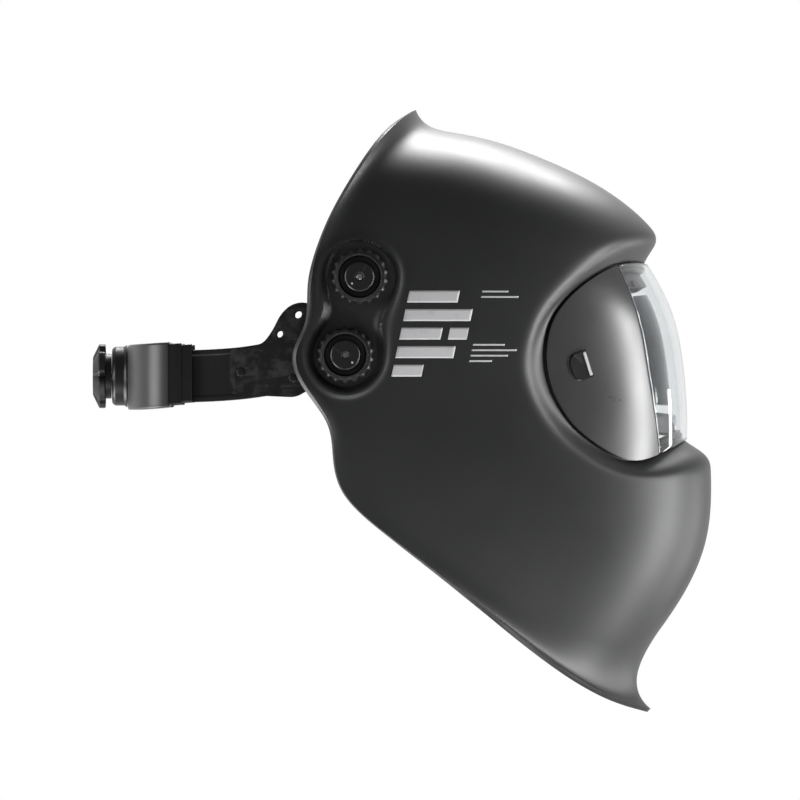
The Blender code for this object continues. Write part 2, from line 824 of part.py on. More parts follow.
def ring_profile(bore, radius, low, high):
    return [(bore, low), (radius, low), (radius, high), (bore, high)]


def shell_fittings():
    """What sits on the inside of the shell at the pods."""
    inside = POD_FLOOR - SHELL_THICKNESS - GAP
    for side, sign in SIDES:
        profile = ring_profile(BOLT_RADIUS + 0.4, 11.0, sign * WASHER[1] + sign * GAP, sign * inside)
        turned_part(f"pivot_bush_{side}", profile, "y", PIVOT, "black")
        name = "shade_potentiometer" if side == "right" else "delay_potentiometer"
        body = add_part(name, disc_mesh(name, "y", sign * 88.0, sign * inside, 8.5, DIAL, 20), "steel")
        bore = disc_mesh("bore", "y", sign * 93.5, sign * 110, SHAFT_RADIUS + 0.4, DIAL, 12)
        cut(body, add_cutter(f"{name}_bore", bore))
    outline = rounded_box(13.5, 11.5, 3, BATTERY)
    tray = add_part("battery_tray", outline_mesh("tray", outline, "y", -96.5, -88.0), "black")
    pocket = disc_mesh("pocket", "y", -94.5, -86, CELL_RADIUS + 0.3, BATTERY, 28)
    cut(tray, add_cutter("cell_pocket", pocket))
    cell = disc_mesh("cell", "y", -94.2, -91.0, CELL_RADIUS, BATTERY, 28)
    add_part("coin_cell", cell, "steel")
    board = outline_mesh("board", rounded_box(12.0, 9.0, 1.5, BOARD), "y", 93.0, 94.6)
    add_part("circuit_board", board, "board")


# ---------------------------------------------------------------- knobs and pivots


def fluted_ring(radius, height, centre, depth):
    """A ring of points across Y, its radius waved by the flutes."""
    ring = []
    for k in range(2 * KNOB_FLUTES):
        angle = math.pi * k / KNOB_FLUTES
        r = radius - (depth if k % 2 else 0.0)
        ring.append((centre[0] + r * math.cos(angle), height, centre[1] + r * math.sin(angle)))
    return ring


def knob_mesh(name, centre, sign, bored):
    """A knob with a fluted skirt, a groove and a centre boss; bored through, or blind both ways."""
    base, top = POD_FLOOR + KNOB_LIFT, KNOB_TOP
    bore = SHAFT_RADIUS + GAP if bored else BOLT_RADIUS + GAP
    profile = [
        (KNOB_RADIUS, base, 0.9),
        (KNOB_RADIUS, top - 2.4, 0.9),
        (KNOB_RADIUS - 1.2, top - 1.0, 0.3),
        (11.6, top - 0.9, 0.0),
        (10.2, top - 4.6, 0.0),
        (8.2, top - 4.6, 0.0),
        (7.7, top, 0.0),
        (bore if bored else SHAFT_RADIUS, top, 0.0),
    ]
    if bored:
        profile = [(bore, base, 0.0)] + profile
    else:
        start = [(bore, top - 3.4, 0.0), (bore, base, 0.0)]
        profile = start + profile + [(SHAFT_RADIUS, top - 1.8, 0.0)]
    sections = [fluted_ring(r, sign * y, centre, d) for r, y, d in profile]
    if bored:
        return ring_mesh(name, sections)
    return loft_mesh(name, sections)


def ring_mesh(name, sections):
    """A closed ring through sections that end where they began."""
    sections = np.asarray(sections, float)
    count, around = sections.shape[:2]
    faces = []
    for i in range(count):
        for j in range(around):
            n, m = (i + 1) % count, (j + 1) % around
            faces.append((i * around + j, n * around + j, n * around + m, i * around + m))
    return tidy_mesh(new_mesh(name, sections.reshape(-1, 3), faces))


def knobs():
    for side, sign in SIDES:
        add_part(f"pivot_knob_{side}", knob_mesh("knob", PIVOT, sign, False), "black")
        dial = "shade_knob" if side == "right" else "delay_knob"
        add_part(dial, knob_mesh("dial", DIAL, sign, True), "black")
        shaft = disc_mesh("shaft", "y", sign * 94.0, sign * (KNOB_TOP - 0.5), SHAFT_RADIUS, DIAL, 16)
        add_part(dial.replace("knob", "shaft"), shaft, "steel")


def pivots():
    """Each side's bolt, carriage and washer: the carriage runs along the harness plate's slot."""
    head = [(0.0, PLATE_IN - 2.1), (7.0, PLATE_IN - 2.1), (7.0, PLATE_IN - 0.4)]
    shank = [(BOLT_RADIUS, PLATE_IN - 0.4), (BOLT_RADIUS, KNOB_TOP - 3.8), (0.0, KNOB_TOP - 3.8)]
    for side, sign in SIDES:
        profile = [(r, sign * y) for r, y in head + shank]
        turned_part(f"pivot_bolt_{side}", profile, "y", PIVOT, "steel", 20)
        start, end = sign * (PLATE_OUT + GAP), sign * CARRIAGE_OUT
        block = outline_mesh("block", rounded_box(16, 11, 4), "y", *sorted((start, end)))
        block = add_part(f"slide_carriage_{side}", block, "black")
        bore = disc_mesh("bore", "y", start - sign * 5, end + sign * 5, BOLT_RADIUS + 0.3, PIVOT, 20)
        cut(block, add_cutter(f"carriage_bore_{side}", bore))
        profile = ring_profile(BOLT_RADIUS + 0.4, 12.0, sign * WASHER[0], sign * WASHER[1])
        turned_part(f"friction_washer_{side}", profile, "y", PIVOT, "rubber")


# ---------------------------------------------------------------- the head harness


def band_height(x):
    """Middle height of the band at a distance along X."""
    return float(spline(*np.array(BAND_RISE).T, [x])[0])


def band_path(count=18):
    """Middle of the band's thickness on the wearer's right, from the forehead to the strap's end."""
    middle = -17.0
    angles = np.radians(np.linspace(0, 90, count))
    path = [(middle + (BAND_FRONT - middle) * math.cos(a), BAND_SIDE_MIDDLE * math.sin(a)) for a in angles]
    for x in np.linspace(-30.0, STRAP_END, 7):
        path.append((x, BAND_SIDE_MIDDLE - STRAP_SLOPE * (-25.0 - x)))
    return path


def normals(path):
    """Outward normals of a path that runs from the front round to the back on the +second side."""
    p = np.array(path, float)
    run = np.gradient(p, axis=0)
    out = np.stack([run[:, 1], -run[:, 0]], axis=-1)
    out /= np.linalg.norm(out, axis=1, keepdims=True)
    return out


def band_sections(path, inner, outer, low, high, sign):
    """Sections along a path, between two offsets and two heights about the band's middle."""
    sections = []
    for (x, y), (nx, ny) in zip(path, normals(path)):
        z = band_height(x)
        corners = [(inner, low), (outer, low), (outer, high), (inner, high)]
        sections.append([(x + nx * o, sign * (y + ny * o), z + h) for o, h in corners])
    return sections


def both_sides(sections_of):
    """Sections from one end round the front to the other end."""
    right = sections_of(-1)
    left = sections_of(1)
    return right[::-1] + left[1:]


def drill_sides(obj, places, radius):
    """Round holes across both sides of a part, one at each place in the side view."""
    cut(obj, *side_axis_cutters(obj.name + " hole", places, radius, 60, 90))


def harness_band():
    half = BAND_HEIGHT / 2
    thick = BAND_THICKNESS / 2
    path = band_path()
    sections = both_sides(lambda sign: band_sections(path, -thick, thick, -half, half, sign))
    band = add_part("harness_band", loft_mesh("band", sections), "black")
    drill_sides(band, RIVETS + CROWN_PEGS, PEG_RADIUS + 0.4)
    front = [p for p in path if p[0] > 42]
    inner, outer = -thick - 5.5, -thick - 0.4
    pad = both_sides(lambda sign: band_sections(front, inner, outer, 1 - half, half - 1, sign))
    add_part("sweatband", loft_mesh("sweatband", pad), "cloth")


def side_plates():
    """The plates that carry the pivots, outside the band, each riveted to it in two places."""
    slot = rounded_box(SLOT_HALF, BOLT_RADIUS + 0.5, 3.4)
    for side, sign in SIDES:
        start, end = sign * PLATE_IN, sign * PLATE_OUT
        plate = outline_mesh("plate", PLATE_OUTLINE, "y", *sorted((start, end)))
        plate = add_part(f"side_plate_{side}", plate, "black")
        slot_cutter = outline_mesh("slot", slot, "y", *sorted((sign * 76, sign * 90)))
        cut(plate, add_cutter(f"slot_{side}", slot_cutter))
        for k, (x, z, r) in enumerate(PLATE_HOLES):
            hole = disc_mesh("hole", "y", sign * 76, sign * 90, r, (x, z), 16)
            cut(plate, add_cutter(f"plate_hole_{side}_{k}", hole))
        for k, place in enumerate(RIVETS):
            hole = disc_mesh("hole", "y", sign * 76, sign * 90, PEG_RADIUS + 0.4, place, 14)
            cut(plate, add_cutter(f"rivet_hole_{side}_{k}", hole))
            start, end = sign * (BAND_SIDE_MIDDLE - 5.5), sign * (PLATE_OUT + 1.2)
            rivet = disc_mesh("rivet", "y", start, end, PEG_RADIUS, place, 14)
            add_part(f"plate_rivet_{side}_{k + 1}", rivet, "steel")


def crown_strap(name, half, top, base, peg):
    """A strap over the head, from a base inside the band on one side to the other."""
    sections = []
    for angle in np.radians(np.linspace(-8, 188, 29)):
        c, s = math.cos(angle), math.sin(angle)
        rise = abs(s) ** 0.9 * (1 if s > 0 else -1)
        x = base[0] + (top[0] - base[0]) * max(rise, 0)
        middle = np.array([x, half * c, base[1] + (top[1] - base[1]) * rise])
        out = np.array([0, c / half, s / (top[1] - base[1])])
        out /= np.linalg.norm(out)
        along = np.array([STRAP_HALF_WIDTH, 0, 0])
        outer = out * STRAP_THICKNESS
        sections.append([middle + along, middle - along, middle - along + outer, middle + along + outer])
    strap = add_part(name, loft_mesh(name, sections), "black")
    drill_sides(strap, [peg], PEG_RADIUS + 0.4)
    for side, sign in SIDES:
        start, end = sign * (half - 2.4), sign * (BAND_SIDE_MIDDLE + 1.6)
        add_part(f"{name}_peg_{side}", disc_mesh("peg", "y", start, end, PEG_RADIUS, peg, 14), "black")


def crown_straps():
    crown_strap("crown_strap_rear", 72.0, (25.0, 102.0), (-7.0, 13.0), CROWN_PEGS[0])
    crown_strap("crown_strap_front", 64.0, (50.0, 99.0), (16.0, 19.0), CROWN_PEGS[1])


# ---------------------------------------------------------------- the ratchet


def nape_path(half, back, reach=29.7, steps=11):
    """From the middle of the back round to a straight end at the side, as (x, y)."""
    path = []
    for angle in np.radians(np.linspace(90, 0, steps)):
        s, c = math.sin(angle) ** (2 / 3), math.cos(angle) ** (2 / 3)
        path.append((back + reach - reach * s, half * c))
    path.append((NAPE_MOUTH, half))
    return path


def nape_sections(path, section, sign):
    sections = []
    for (x, y), (nx, ny) in zip(path, normals(path)):
        sections.append([(x - nx * o, sign * (y - ny * o), z) for o, z in section])
    return sections


def nape_parts():
    top, low = NAPE_Z + NAPE_HEIGHT / 2, NAPE_Z - NAPE_HEIGHT / 2
    path = nape_path(NAPE_HALF, NAPE_BACK)
    upper = [(0, top), (-8.5, top), (-8.5, top - 1.2), (-1.6, top - 1.2)]
    lower = [(-1.6, low + 1.2), (-8.5, low + 1.2), (-8.5, low), (0, low)]
    channel = lower[-1:] + upper + lower[:-1]
    sections = both_sides(lambda sign: nape_sections(path, channel, sign))
    cover = add_part("nape_cover", loft_mesh("cover", sections), "grey")
    shaft = (0.0, NAPE_Z)
    cut(cover, add_cutter("cover_bore", disc_mesh("bore", "x", -125, -114, 2.9, shaft, 16)))
    wall = [(-7.0, low + 1.6), (-7.0, top - 1.6), (-8.2, top - 1.6), (-8.2, low + 1.6)]
    sections = both_sides(lambda sign: nape_sections(path, wall, sign))
    add_part("nape_back_plate", loft_mesh("back", sections), "black")
    middle = [p for p in path if p[1] < 62]
    cushion = [(-8.9, low + 3.5), (-8.9, top - 3.5), (-13.5, top - 5), (-13.5, low + 5)]
    sections = both_sides(lambda sign: nape_sections(middle, cushion, sign))
    add_part("nape_pad", loft_mesh("pad", sections), "cloth")
    turned_part("ratchet_housing", HOUSING_PROFILE, "x", shaft, "black", 28)


def gear_outline(centre):
    outline = []
    for k in range(PINION_TEETH):
        for turn, radius in ((-0.25, 3.0), (-0.10, 4.7), (0.10, 4.7), (0.25, 3.0)):
            angle = 2 * math.pi * (k + turn) / PINION_TEETH
            outline.append((centre[0] + radius * math.cos(angle), centre[1] + radius * math.sin(angle)))
    return outline


def rack_outline(sign):
    """A toothed bar along Y; the right one (-1) runs below the pinion, the left one above."""
    pitch = 2 * math.pi * PINION_RADIUS / PINION_TEETH
    near = NAPE_Z + sign * 5.4
    tip = NAPE_Z + sign * 3.6
    far = NAPE_Z + sign * 11.5
    count = 14
    outline = []
    for k in range(count):
        middle = sign * (-3.5 + k) * pitch
        for step, z in ((-0.2, near), (-0.08, tip), (0.08, tip), (0.2, near)):
            outline.append((middle + sign * step * pitch, z))
    inner = outline[0][0] - sign * 1.5
    outer = outline[-1][0] + sign * 1.5
    return [(inner, far), (inner, near)] + outline + [(outer, near), (outer, far)]


def ratchet():
    shaft = (0.0, NAPE_Z)
    pinion = outline_mesh("pinion", gear_outline(shaft), "x", -114.6, -111.4)
    add_part("ratchet_pinion", pinion, "black")
    add_part("ratchet_spindle", disc_mesh("spindle", "x", -134.0, -114.9, 2.4, shaft, 16), "steel")
    turned_part("ratchet_knob", RATCHET_KNOB_PROFILE, "x", shaft, "black")
    turned_part("knob_screw", SCREW_PROFILE, "x", shaft, "steel", 16)
    for side, sign in SIDES:
        rack = outline_mesh("rack", rack_outline(sign), "x", *RACK_X)
        add_part(f"band_rack_{side}", rack, "black")


def main():
    helmet_shell()
    visor()
    filter_cassette()
    shell_fittings()
    knobs()
    pivots()
    harness_band()
    side_plates()
    crown_straps()
    nape_parts()
    ratchet()


main()
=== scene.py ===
"""Looks of the welding helmet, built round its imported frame.

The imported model's frame is kept: origin on the pivot axis, +X forward, +Y to the wearer's left,
+Z up. Tables are in millimetres, and each mesh is scaled to metres as it is made.
"""

import math

import bmesh
import bpy
import numpy as np
from mathutils import Matrix, Vector


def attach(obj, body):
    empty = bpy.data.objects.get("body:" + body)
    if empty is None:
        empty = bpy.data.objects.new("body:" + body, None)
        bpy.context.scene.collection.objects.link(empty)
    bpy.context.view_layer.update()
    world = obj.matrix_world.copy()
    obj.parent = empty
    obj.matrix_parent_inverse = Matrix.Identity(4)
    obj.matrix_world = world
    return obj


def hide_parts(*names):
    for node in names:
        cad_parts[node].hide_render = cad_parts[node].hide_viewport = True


MM = 0.001
SIDES = (("right", -1), ("left", 1))

# The shell's form is a dome over its side outline, seen from a point behind the head.
# Each row: angle above the horizontal (degrees), radius of the centre line, fullness of the cheek.
FORM_X = -90.0
HALF_WIDTH = 112.0
FORM = [
    (56.0, 159.0, 0.50),
    (48.0, 172.0, 0.47),
    (42.2, 182.5, 0.44),
    (35.3, 202.4, 0.40),
    (28.8, 222.0, 0.37),
    (21.8, 245.0, 0.33),
    (13.8, 267.0, 0.29),
    (0.0, 283.0, 0.21),
    (-10.8, 292.0, 0.15),
    (-19.3, 301.4, 0.12),
    (-30.5, 298.3, 0.10),
    (-45.0, 292.0, 0.10),
    (-56.0, 284.0, 0.10),
]
# The visor bulges on a smaller dome, sunk below the shell's.
VISOR_HALF_WIDTH = 108.0
VISOR_FORM = [
    (20.0, 240.0, 0.31),
    (11.0, 257.5, 0.27),
    (4.7, 267.5, 0.24),
    (-1.6, 272.6, 0.20),
    (-9.2, 277.7, 0.16),
    (-20.0, 282.0, 0.12),
]

# Loops run from the top centre (0) round one side to the chin (1): share, X, Z.
WINDOW_EDGE = [
    (0.00, 169.0, 62.4),
    (0.14, 149.6, 58.6),
    (0.22, 132.0, 48.2),
    (0.29, 116.6, 35.4),
    (0.36, 104.2, 19.4),
    (0.43, 97.9, 0.0),
    (0.50, 99.4, -17.0),
    (0.57, 107.5, -33.0),
    (0.65, 123.0, -48.8),
    (0.73, 144.2, -60.2),
    (0.81, 163.5, -63.4),
    (0.90, 182.0, -60.8),
    (1.00, 192.8, -53.7),
]
VISOR_EDGE = [
    (0.00, 162.8, 50.0),
    (0.14, 146.0, 49.2),
    (0.22, 130.5, 40.8),
    (0.29, 119.0, 31.0),
    (0.36, 110.3, 18.3),
    (0.43, 106.9, 2.0),
    (0.50, 109.0, -15.0),
    (0.57, 115.5, -29.3),
    (0.65, 128.0, -43.8),
    (0.73, 147.0, -55.6),
    (0.81, 161.0, -56.6),
    (0.90, 174.5, -51.2),
    (1.00, 183.6, -45.8),
]
FLARE_START = [
    (0.00, 54.0, 121.6),
    (0.08, 46.0, 117.6),
    (0.16, 27.0, 106.0),
    (0.23, 8.0, 84.0),
    (0.30, -6.0, 57.0),
    (0.345, -12.4, 38.0),
    (0.39, -14.5, 16.0),
    (0.43, -20.2, 0.8),
    (0.47, -16.5, -14.0),
    (0.52, -3.5, -31.0),
    (0.57, 2.0, -50.0),
    (0.625, 8.0, -70.0),
    (0.68, 29.0, -90.0),
    (0.745, 60.0, -112.0),
    (0.81, 92.0, -133.0),
    (0.88, 126.0, -152.0),
    (0.94, 152.0, -158.0),
    (1.00, 168.0, -150.0),
]
# The flared rim itself: share, X, half width, Z.
RIM = [
    (0.00, 37.8, 0.0, 132.6),
    (0.08, 32.0, 42.0, 128.6),
    (0.16, 17.8, 78.0, 114.2),
    (0.23, 0.5, 100.0, 88.3),
    (0.30, -13.5, 109.0, 59.9),
    (0.345, -18.4, 111.5, 38.0),
    (0.39, -20.5, 112.0, 16.0),
    (0.43, -26.2, 112.5, 0.8),
    (0.47, -22.5, 112.0, -14.0),
    (0.52, -9.5, 110.5, -34.0),
    (0.57, -5.9, 108.5, -51.0),
    (0.625, -0.5, 106.0, -73.7),
    (0.68, 22.0, 101.0, -95.5),
    (0.745, 52.9, 92.5, -119.1),
    (0.81, 83.0, 81.0, -142.5),
    (0.88, 115.0, 61.0, -167.0),
    (0.94, 141.0, 34.0, -182.6),
    (0.975, 156.5, 15.0, -188.6),
    (1.00, 164.5, 0.0, -190.6),
]
FLARE_REACH = [
    (0.0, 12.5),
    (0.16, 8.0),
    (0.3, 4.0),
    (0.6, 4.0),
    (0.8, 12.0),
    (0.92, 22.0),
    (1.0, 34.0),
]

SHELL_THICKNESS = 2.5
LEDGE_DEPTH = 3.8
LEDGE_WIDTH = 5.2
LEDGE_WALL = 1.2
FLANGE_SINK = 3.6
FLANGE_PULL = 0.58

PIVOT = (0.0, 0.0)
DIAL = (7.6, 41.9)
POD_RADIUS = 19.6
POD_WAIST = 27.2
POD_FLOOR = 105.5
POD_SLOPE = 2.8
POD_LIP = 1.3
POD_LIP_OUT = 1.5
POD_LIP_WIDTH = 2.0
KNOB_RADIUS = 15.3
KNOB_TOP = 115.0
KNOB_LIFT = 1.6
KNOB_FLUTES = 18
SHAFT_RADIUS = 1.7
DIALS = {"right": ("shade_knob", "shade_dial"), "left": ("delay_knob", "delay_dial")}
BOLT_RADIUS = 3.0

VISOR_MIDDLE = 1.0
VISOR_REACH = 52.0
VISOR_REACH_ACROSS = 120.0
VISOR_MARGIN = 0.8
VISOR_EDGE_STEPS = 1201
SEAM_ROLL = 22.3
SEAM_GAP = math.radians(0.09)
SEAM_STEPS = 8
CHEEK_THICKNESS = 2.0
LENS_THICKNESS = 2.0
SEAL_INSET = 2.6
SEAL_THICKNESS = 0.6
LATCH = (125.7, -5.9)
LATCH_SIZE = (11.0, 14.6)
LATCH_LEAN = math.radians(12.0)
LATCH_CORNER = 5.2
FILTER_OPENING = (17.5, -6.8, 8.4)
FILTER_OUTSIDE = (22.6, -9.2, 10.4)
FILTER_BACK = (20.6, -8.8, 9.6)
# Depth below the visor's dome and thickness of each part of the filter.
HOUSING_DEPTH = (7.0, 7.0)
GLASS_DEPTH = (9.0, 3.0)
BACK_DEPTH = (15.8, 1.4)
INNER_LENS_DEPTH = (18.8, 1.0)
SENSOR_DEPTH = (5.9, 0.8)
BATTERY = (40.0, 20.0)
BOARD = (42.0, 42.0)

BAND_FRONT = 82.0
BAND_SIDE_MIDDLE = 78.0
BAND_HEIGHT = 28.0
BAND_MIDDLE = -17.0
BAND_RISE = [
    (-95.0, -11.5),
    (-60.0, -10.0),
    (-30.0, -5.0),
    (0.0, 6.0),
    (30.0, 22.0),
    (60.0, 38.0),
    (85.0, 48.0),
]
STRAP_END = -91.0
STRAP_SLOPE = 0.12
STRAP_HALF_WIDTH = 9.0
CROWN_PEGS = [(-7.0, 13.0), (16.0, 19.0)]
RIVETS = [(-56.0, -9.0), (-28.0, -12.0)]
PLATE_HOLES = [(-25.6, 22.0, 2.2), (-35.5, 11.5, 2.0)]
PLATE_OUTLINE = [
    (-62.0, -21.0),
    (-62.0, 3.5),
    (-50.0, 5.2),
    (-44.3, 6.2),
    (-39.5, 12.5),
    (-34.8, 21.9),
    (-29.5, 27.0),
    (-22.7, 28.7),
    (-8.0, 24.0),
    (12.0, 19.0),
    (22.0, 10.0),
    (24.0, 0.0),
    (22.0, -10.0),
    (12.0, -17.0),
    (-6.0, -18.5),
    (-20.5, -18.4),
    (-27.2, -22.6),
]
PEG_RADIUS = 2.4
PLATE_IN = 81.5
PLATE_OUT = 84.0
CARRIAGE_IN = 84.3
CARRIAGE_OUT = 91.0
WASHER = (91.3, 93.3)
SLOT_HALF = 13.0
NAPE_Z = -11.1
NAPE_BACK = -117.7
NAPE_HALF = 76.0
NAPE_REACH = 29.7
NAPE_HEIGHT = 35.0
NAPE_MOUTH = -82.3

JOIN_DISTANCE = 1e-6
INSIDE = (60.0, 0.0, 0.0)
STRAP_DRILL_REACH = 12.0

# Moulded plastics: material, colour, roughness, grain, grain depth (mm), gloss spread, wear, sheen.
PLASTICS = {
    "graphite": ("shell_graphite", (0.017, 0.0175, 0.0183), 0.42, 1500.0, 0.010, 0.025, 0.12, 0.5),
    "cheek": ("cheek_grey", (0.030, 0.030, 0.032), 0.30, 1500.0, 0.005, 0.03, 0.25, 0.8),
    "black": ("black_plastic", (0.0045, 0.0045, 0.005), 0.38, 900.0, 0.012, 0.015, 0.4, 0.5),
    "knob": ("knob_black", (0.0065, 0.0065, 0.007), 0.42, 1200.0, 0.010, 0.04, 0.3, 0.5),
    # The nape grey is partly the cover's own colour and partly a painted highlight.
    "nape": ("nape_grey_and_painted_highlight", (0.022, 0.022, 0.023), 0.38, 1200.0, 0.006, 0.02, 0.3, 0.7),
    "latch": ("latch_black", (0.010, 0.010, 0.011), 0.30, 1200.0, 0.010, 0.05, 0.5, 0.5),
    "dim": ("dim_grey", (0.035, 0.035, 0.036), 0.30, 1200.0, 0.008, 0.05, 0.2, 0.5),
    # The pale cheek edge is a painted highlight along the bevel round each cheek.
    "edge": ("cheek_edge_painted_highlight", (0.16, 0.16, 0.165), 0.26, 1200.0, 0.004, 0.03, 0.2, 0.5),
    "bright": ("bright_edge", (0.55, 0.55, 0.56), 0.30, 1200.0, 0.008, 0.05, 0.2, 0.5),
}

# The printed bars and rules on the right side: X, Z, length, height.
PRINT_SLANT = 0.42
PRINT_LIFT = 0.05
PRINT_THICKNESS = 0.04
PRINT_BARS = [
    (27.0, 34.5, 27.0, 6.4),
    (27.0, 24.6, 36.0, 6.4),
    (27.0, 14.7, 22.0, 6.4),
    (53.0, 14.7, 10.0, 6.4),
    (27.0, 4.8, 31.0, 6.4),
    (27.0, -5.1, 16.0, 6.4),
    (66.0, 34.5, 14.0, 0.9),
    (66.0, 31.6, 20.0, 0.9),
    (67.0, 6.0, 17.0, 0.9),
    (67.0, 3.1, 24.0, 0.9),
    (67.0, 0.2, 20.0, 0.9),
    (67.0, -2.7, 12.0, 0.9),
]

# A side knob from its bore outwards: radius, height below the top, share of the flutes.
KNOB_TOP_ROWS = [
    (KNOB_RADIUS, 3.6, 1.0),
    (KNOB_RADIUS - 0.6, 2.3, 1.0),
    (13.6, 1.1, 0.25),
    (12.3, 0.7, 0.0),
    (11.6, 1.0, 0.0),
    (10.5, 4.6, 0.0),
    (8.3, 4.7, 0.0),
    (7.9, 0.5, 0.0),
    (7.3, 0.0, 0.0),
]
# The ring round a knob's groove: radius, depth below the top, half width, half height; its paler
# grey is a painted highlight.
KNOB_HIGHLIGHT_RING = (11.75, 0.78, 0.32, 0.2)
KNOB_FLUTE_DEPTH = 1.1
# The ratchet knob: radius, X, share of the lobes.
RATCHET_ROWS = [
    (2.7, -126.6, 0.0),
    (12.1, -126.6, 0.0),
    (12.1, -129.5, 0.0),
    (16.8, -129.7, 1.0),
    (17.3, -130.2, 1.0),
    (17.3, -132.9, 1.0),
    (16.8, -133.4, 1.0),
    (10.6, -136.4, 0.55),
    (9.8, -136.6, 0.4),
    (6.4, -136.6, 0.0),
    (5.2, -136.2, 0.0),
    (4.9, -135.0, 0.0),
    (2.7, -135.0, 0.0),
]
# Chips on the timing board: X and Z from its middle, half sizes, look.
CHIPS = [
    (-5.5, 2.0, 3.2, 2.6, "black"),
    (3.5, 3.0, 1.2, 2.0, "steel"),
    (6.5, -3.0, 2.2, 1.4, "black"),
    (-6.0, -5.0, 1.5, 0.8, "zinc"),
    (0.0, -4.5, 1.0, 1.6, "cheek"),
]

# In metres: the soft boxes' names, places, targets, sizes and powers (watts).
SOFT_BOXES = [
    ("overhead", (0.22, 0.80, 0.92), (0.10, -0.02, 0.06), (0.8, 0.30), 18.0),
    ("front", (1.15, -0.11, -0.20), (0.14, -0.06, -0.06), (0.22, 1.25), 17.0),
    ("lens_strip", (1.05, 0.46, -0.30), (0.16, -0.04, -0.02), (0.05, 0.7), 2.6),
    ("low_back", (-0.75, -0.10, -0.80), (0.05, -0.08, -0.08), (0.9, 0.5), 14.0),
    ("back", (-1.10, -0.50, 0.05), (-0.05, -0.08, 0.0), (0.8, 0.7), 9.0),
    ("low_near", (0.30, -0.80, -1.15), (0.08, -0.08, -0.10), (0.9, 0.6), 8.0),
]
# The world's strength rises from the near side to the far one.
WORLD_RAMP = (("From Min", -0.2), ("From Max", 0.9), ("To Min", 0.16), ("To Max", 0.8))
FLOOR_RADIUS = 0.8
FLOOR_HEIGHT = -0.30
CAMERA_SENSOR = 36.0
CAMERA_PLACE = (0.0292, -10.0, -0.024)
VIEW_WIDTH = 0.432


# ---------------------------------------------------------------- materials


class Shader:
    """A material's node tree, with short calls for its nodes and links."""

    def __init__(self, name):
        self.material = bpy.data.materials.new(name)
        self.material.use_nodes = True
        self.tree = self.material.node_tree
        self.surface = self.tree.nodes["Principled BSDF"]
        self.place = self.add("ShaderNodeTexCoord").outputs["Object"]

    def add(self, kind, **settings):
        node = self.tree.nodes.new(kind)
        for key, value in settings.items():
            setattr(node, key, value)
        return node

    def feed(self, socket, value):
        if isinstance(value, bpy.types.NodeSocket):
            self.tree.links.new(value, socket)
        elif isinstance(value, tuple) and len(value) == 3 and socket.type == "RGBA":
            socket.default_value = (*value, 1.0)
        else:
            socket.default_value = value

    def set(self, **values):
        for name, value in values.items():
            label = name.replace("_", " ").title().replace("Ior", "IOR")
            self.feed(self.surface.inputs[label], value)

    def stretched(self, scale):
        node = self.add("ShaderNodeMapping")
        self.feed(node.inputs["Vector"], self.place)
        node.inputs["Scale"].default_value = scale
        return node.outputs["Vector"]

    def noise(self, scale, detail=3.0, rough=0.5, place=None):
        node = self.add("ShaderNodeTexNoise")
        self.feed(node.inputs["Vector"], place or self.place)
        node.inputs["Scale"].default_value = scale
        node.inputs["Detail"].default_value = detail
        node.inputs["Roughness"].default_value = rough
        return node.outputs["Fac"]

    def cells(self, scale):
        node = self.add("ShaderNodeTexVoronoi")
        self.feed(node.inputs["Vector"], self.place)
        node.inputs["Scale"].default_value = scale
        return node.outputs["Distance"]

    def wave(self, scale, direction, distortion=0.0):
        node = self.add("ShaderNodeTexWave", bands_direction=direction)
        self.feed(node.inputs["Vector"], self.place)
        node.inputs["Scale"].default_value = scale
        node.inputs["Distortion"].default_value = distortion
        return node.outputs["Fac"]

    def span(self, value, low, high, to_low, to_high):
        node = self.add("ShaderNodeMapRange", clamp=True)
        self.feed(node.inputs["Value"], value)
        limits = (("From Min", low), ("From Max", high), ("To Min", to_low), ("To Max", to_high))
        for key, number in limits:
            node.inputs[key].default_value = number
        return node.outputs["Result"]

    def math(self, operation, a, b):
        node = self.add("ShaderNodeMath", operation=operation)
        self.feed(node.inputs[0], a)
        self.feed(node.inputs[1], b)
        return node.outputs["Value"]

    def blend(self, amount, a, b):
        node = self.add("ShaderNodeMix", data_type="RGBA")
        self.feed(node.inputs["Factor"], amount)
        self.feed(node.inputs["A"], a)
        self.feed(node.inputs["B"], b)
        return node.outputs["Result"]

    def mottle(self, value, low, high, a, b):
        """From one colour to the other as the value goes from low to high."""
        return self.blend(self.span(value, low, high, 0.0, 1.0), a, b)

    def gloss(self, scale, low, high, detail=3.0, rough=0.5):
        """Roughness that wanders between two values in soft patches."""
        self.set(roughness=self.span(self.noise(scale, detail, rough), 0.3, 0.7, low, high))

    def edges(self):
        """1 along convex edges, 0 on flat and hollow places."""
        node = self.add("ShaderNodeNewGeometry")
        return self.span(node.outputs["Pointiness"], 0.53, 0.6, 0.0, 1.0)

    def bump(self, height, distance, strength=1.0):
        """A normal from a height; the distance is in millimetres."""
        node = self.add("ShaderNodeBump")
        self.feed(node.inputs["Height"], height)
        node.inputs["Distance"].default_value = distance * MM
        node.inputs["Strength"].default_value = strength
        return node.outputs["Normal"]


def scaled(colour, share):
    return tuple(c * share for c in colour)


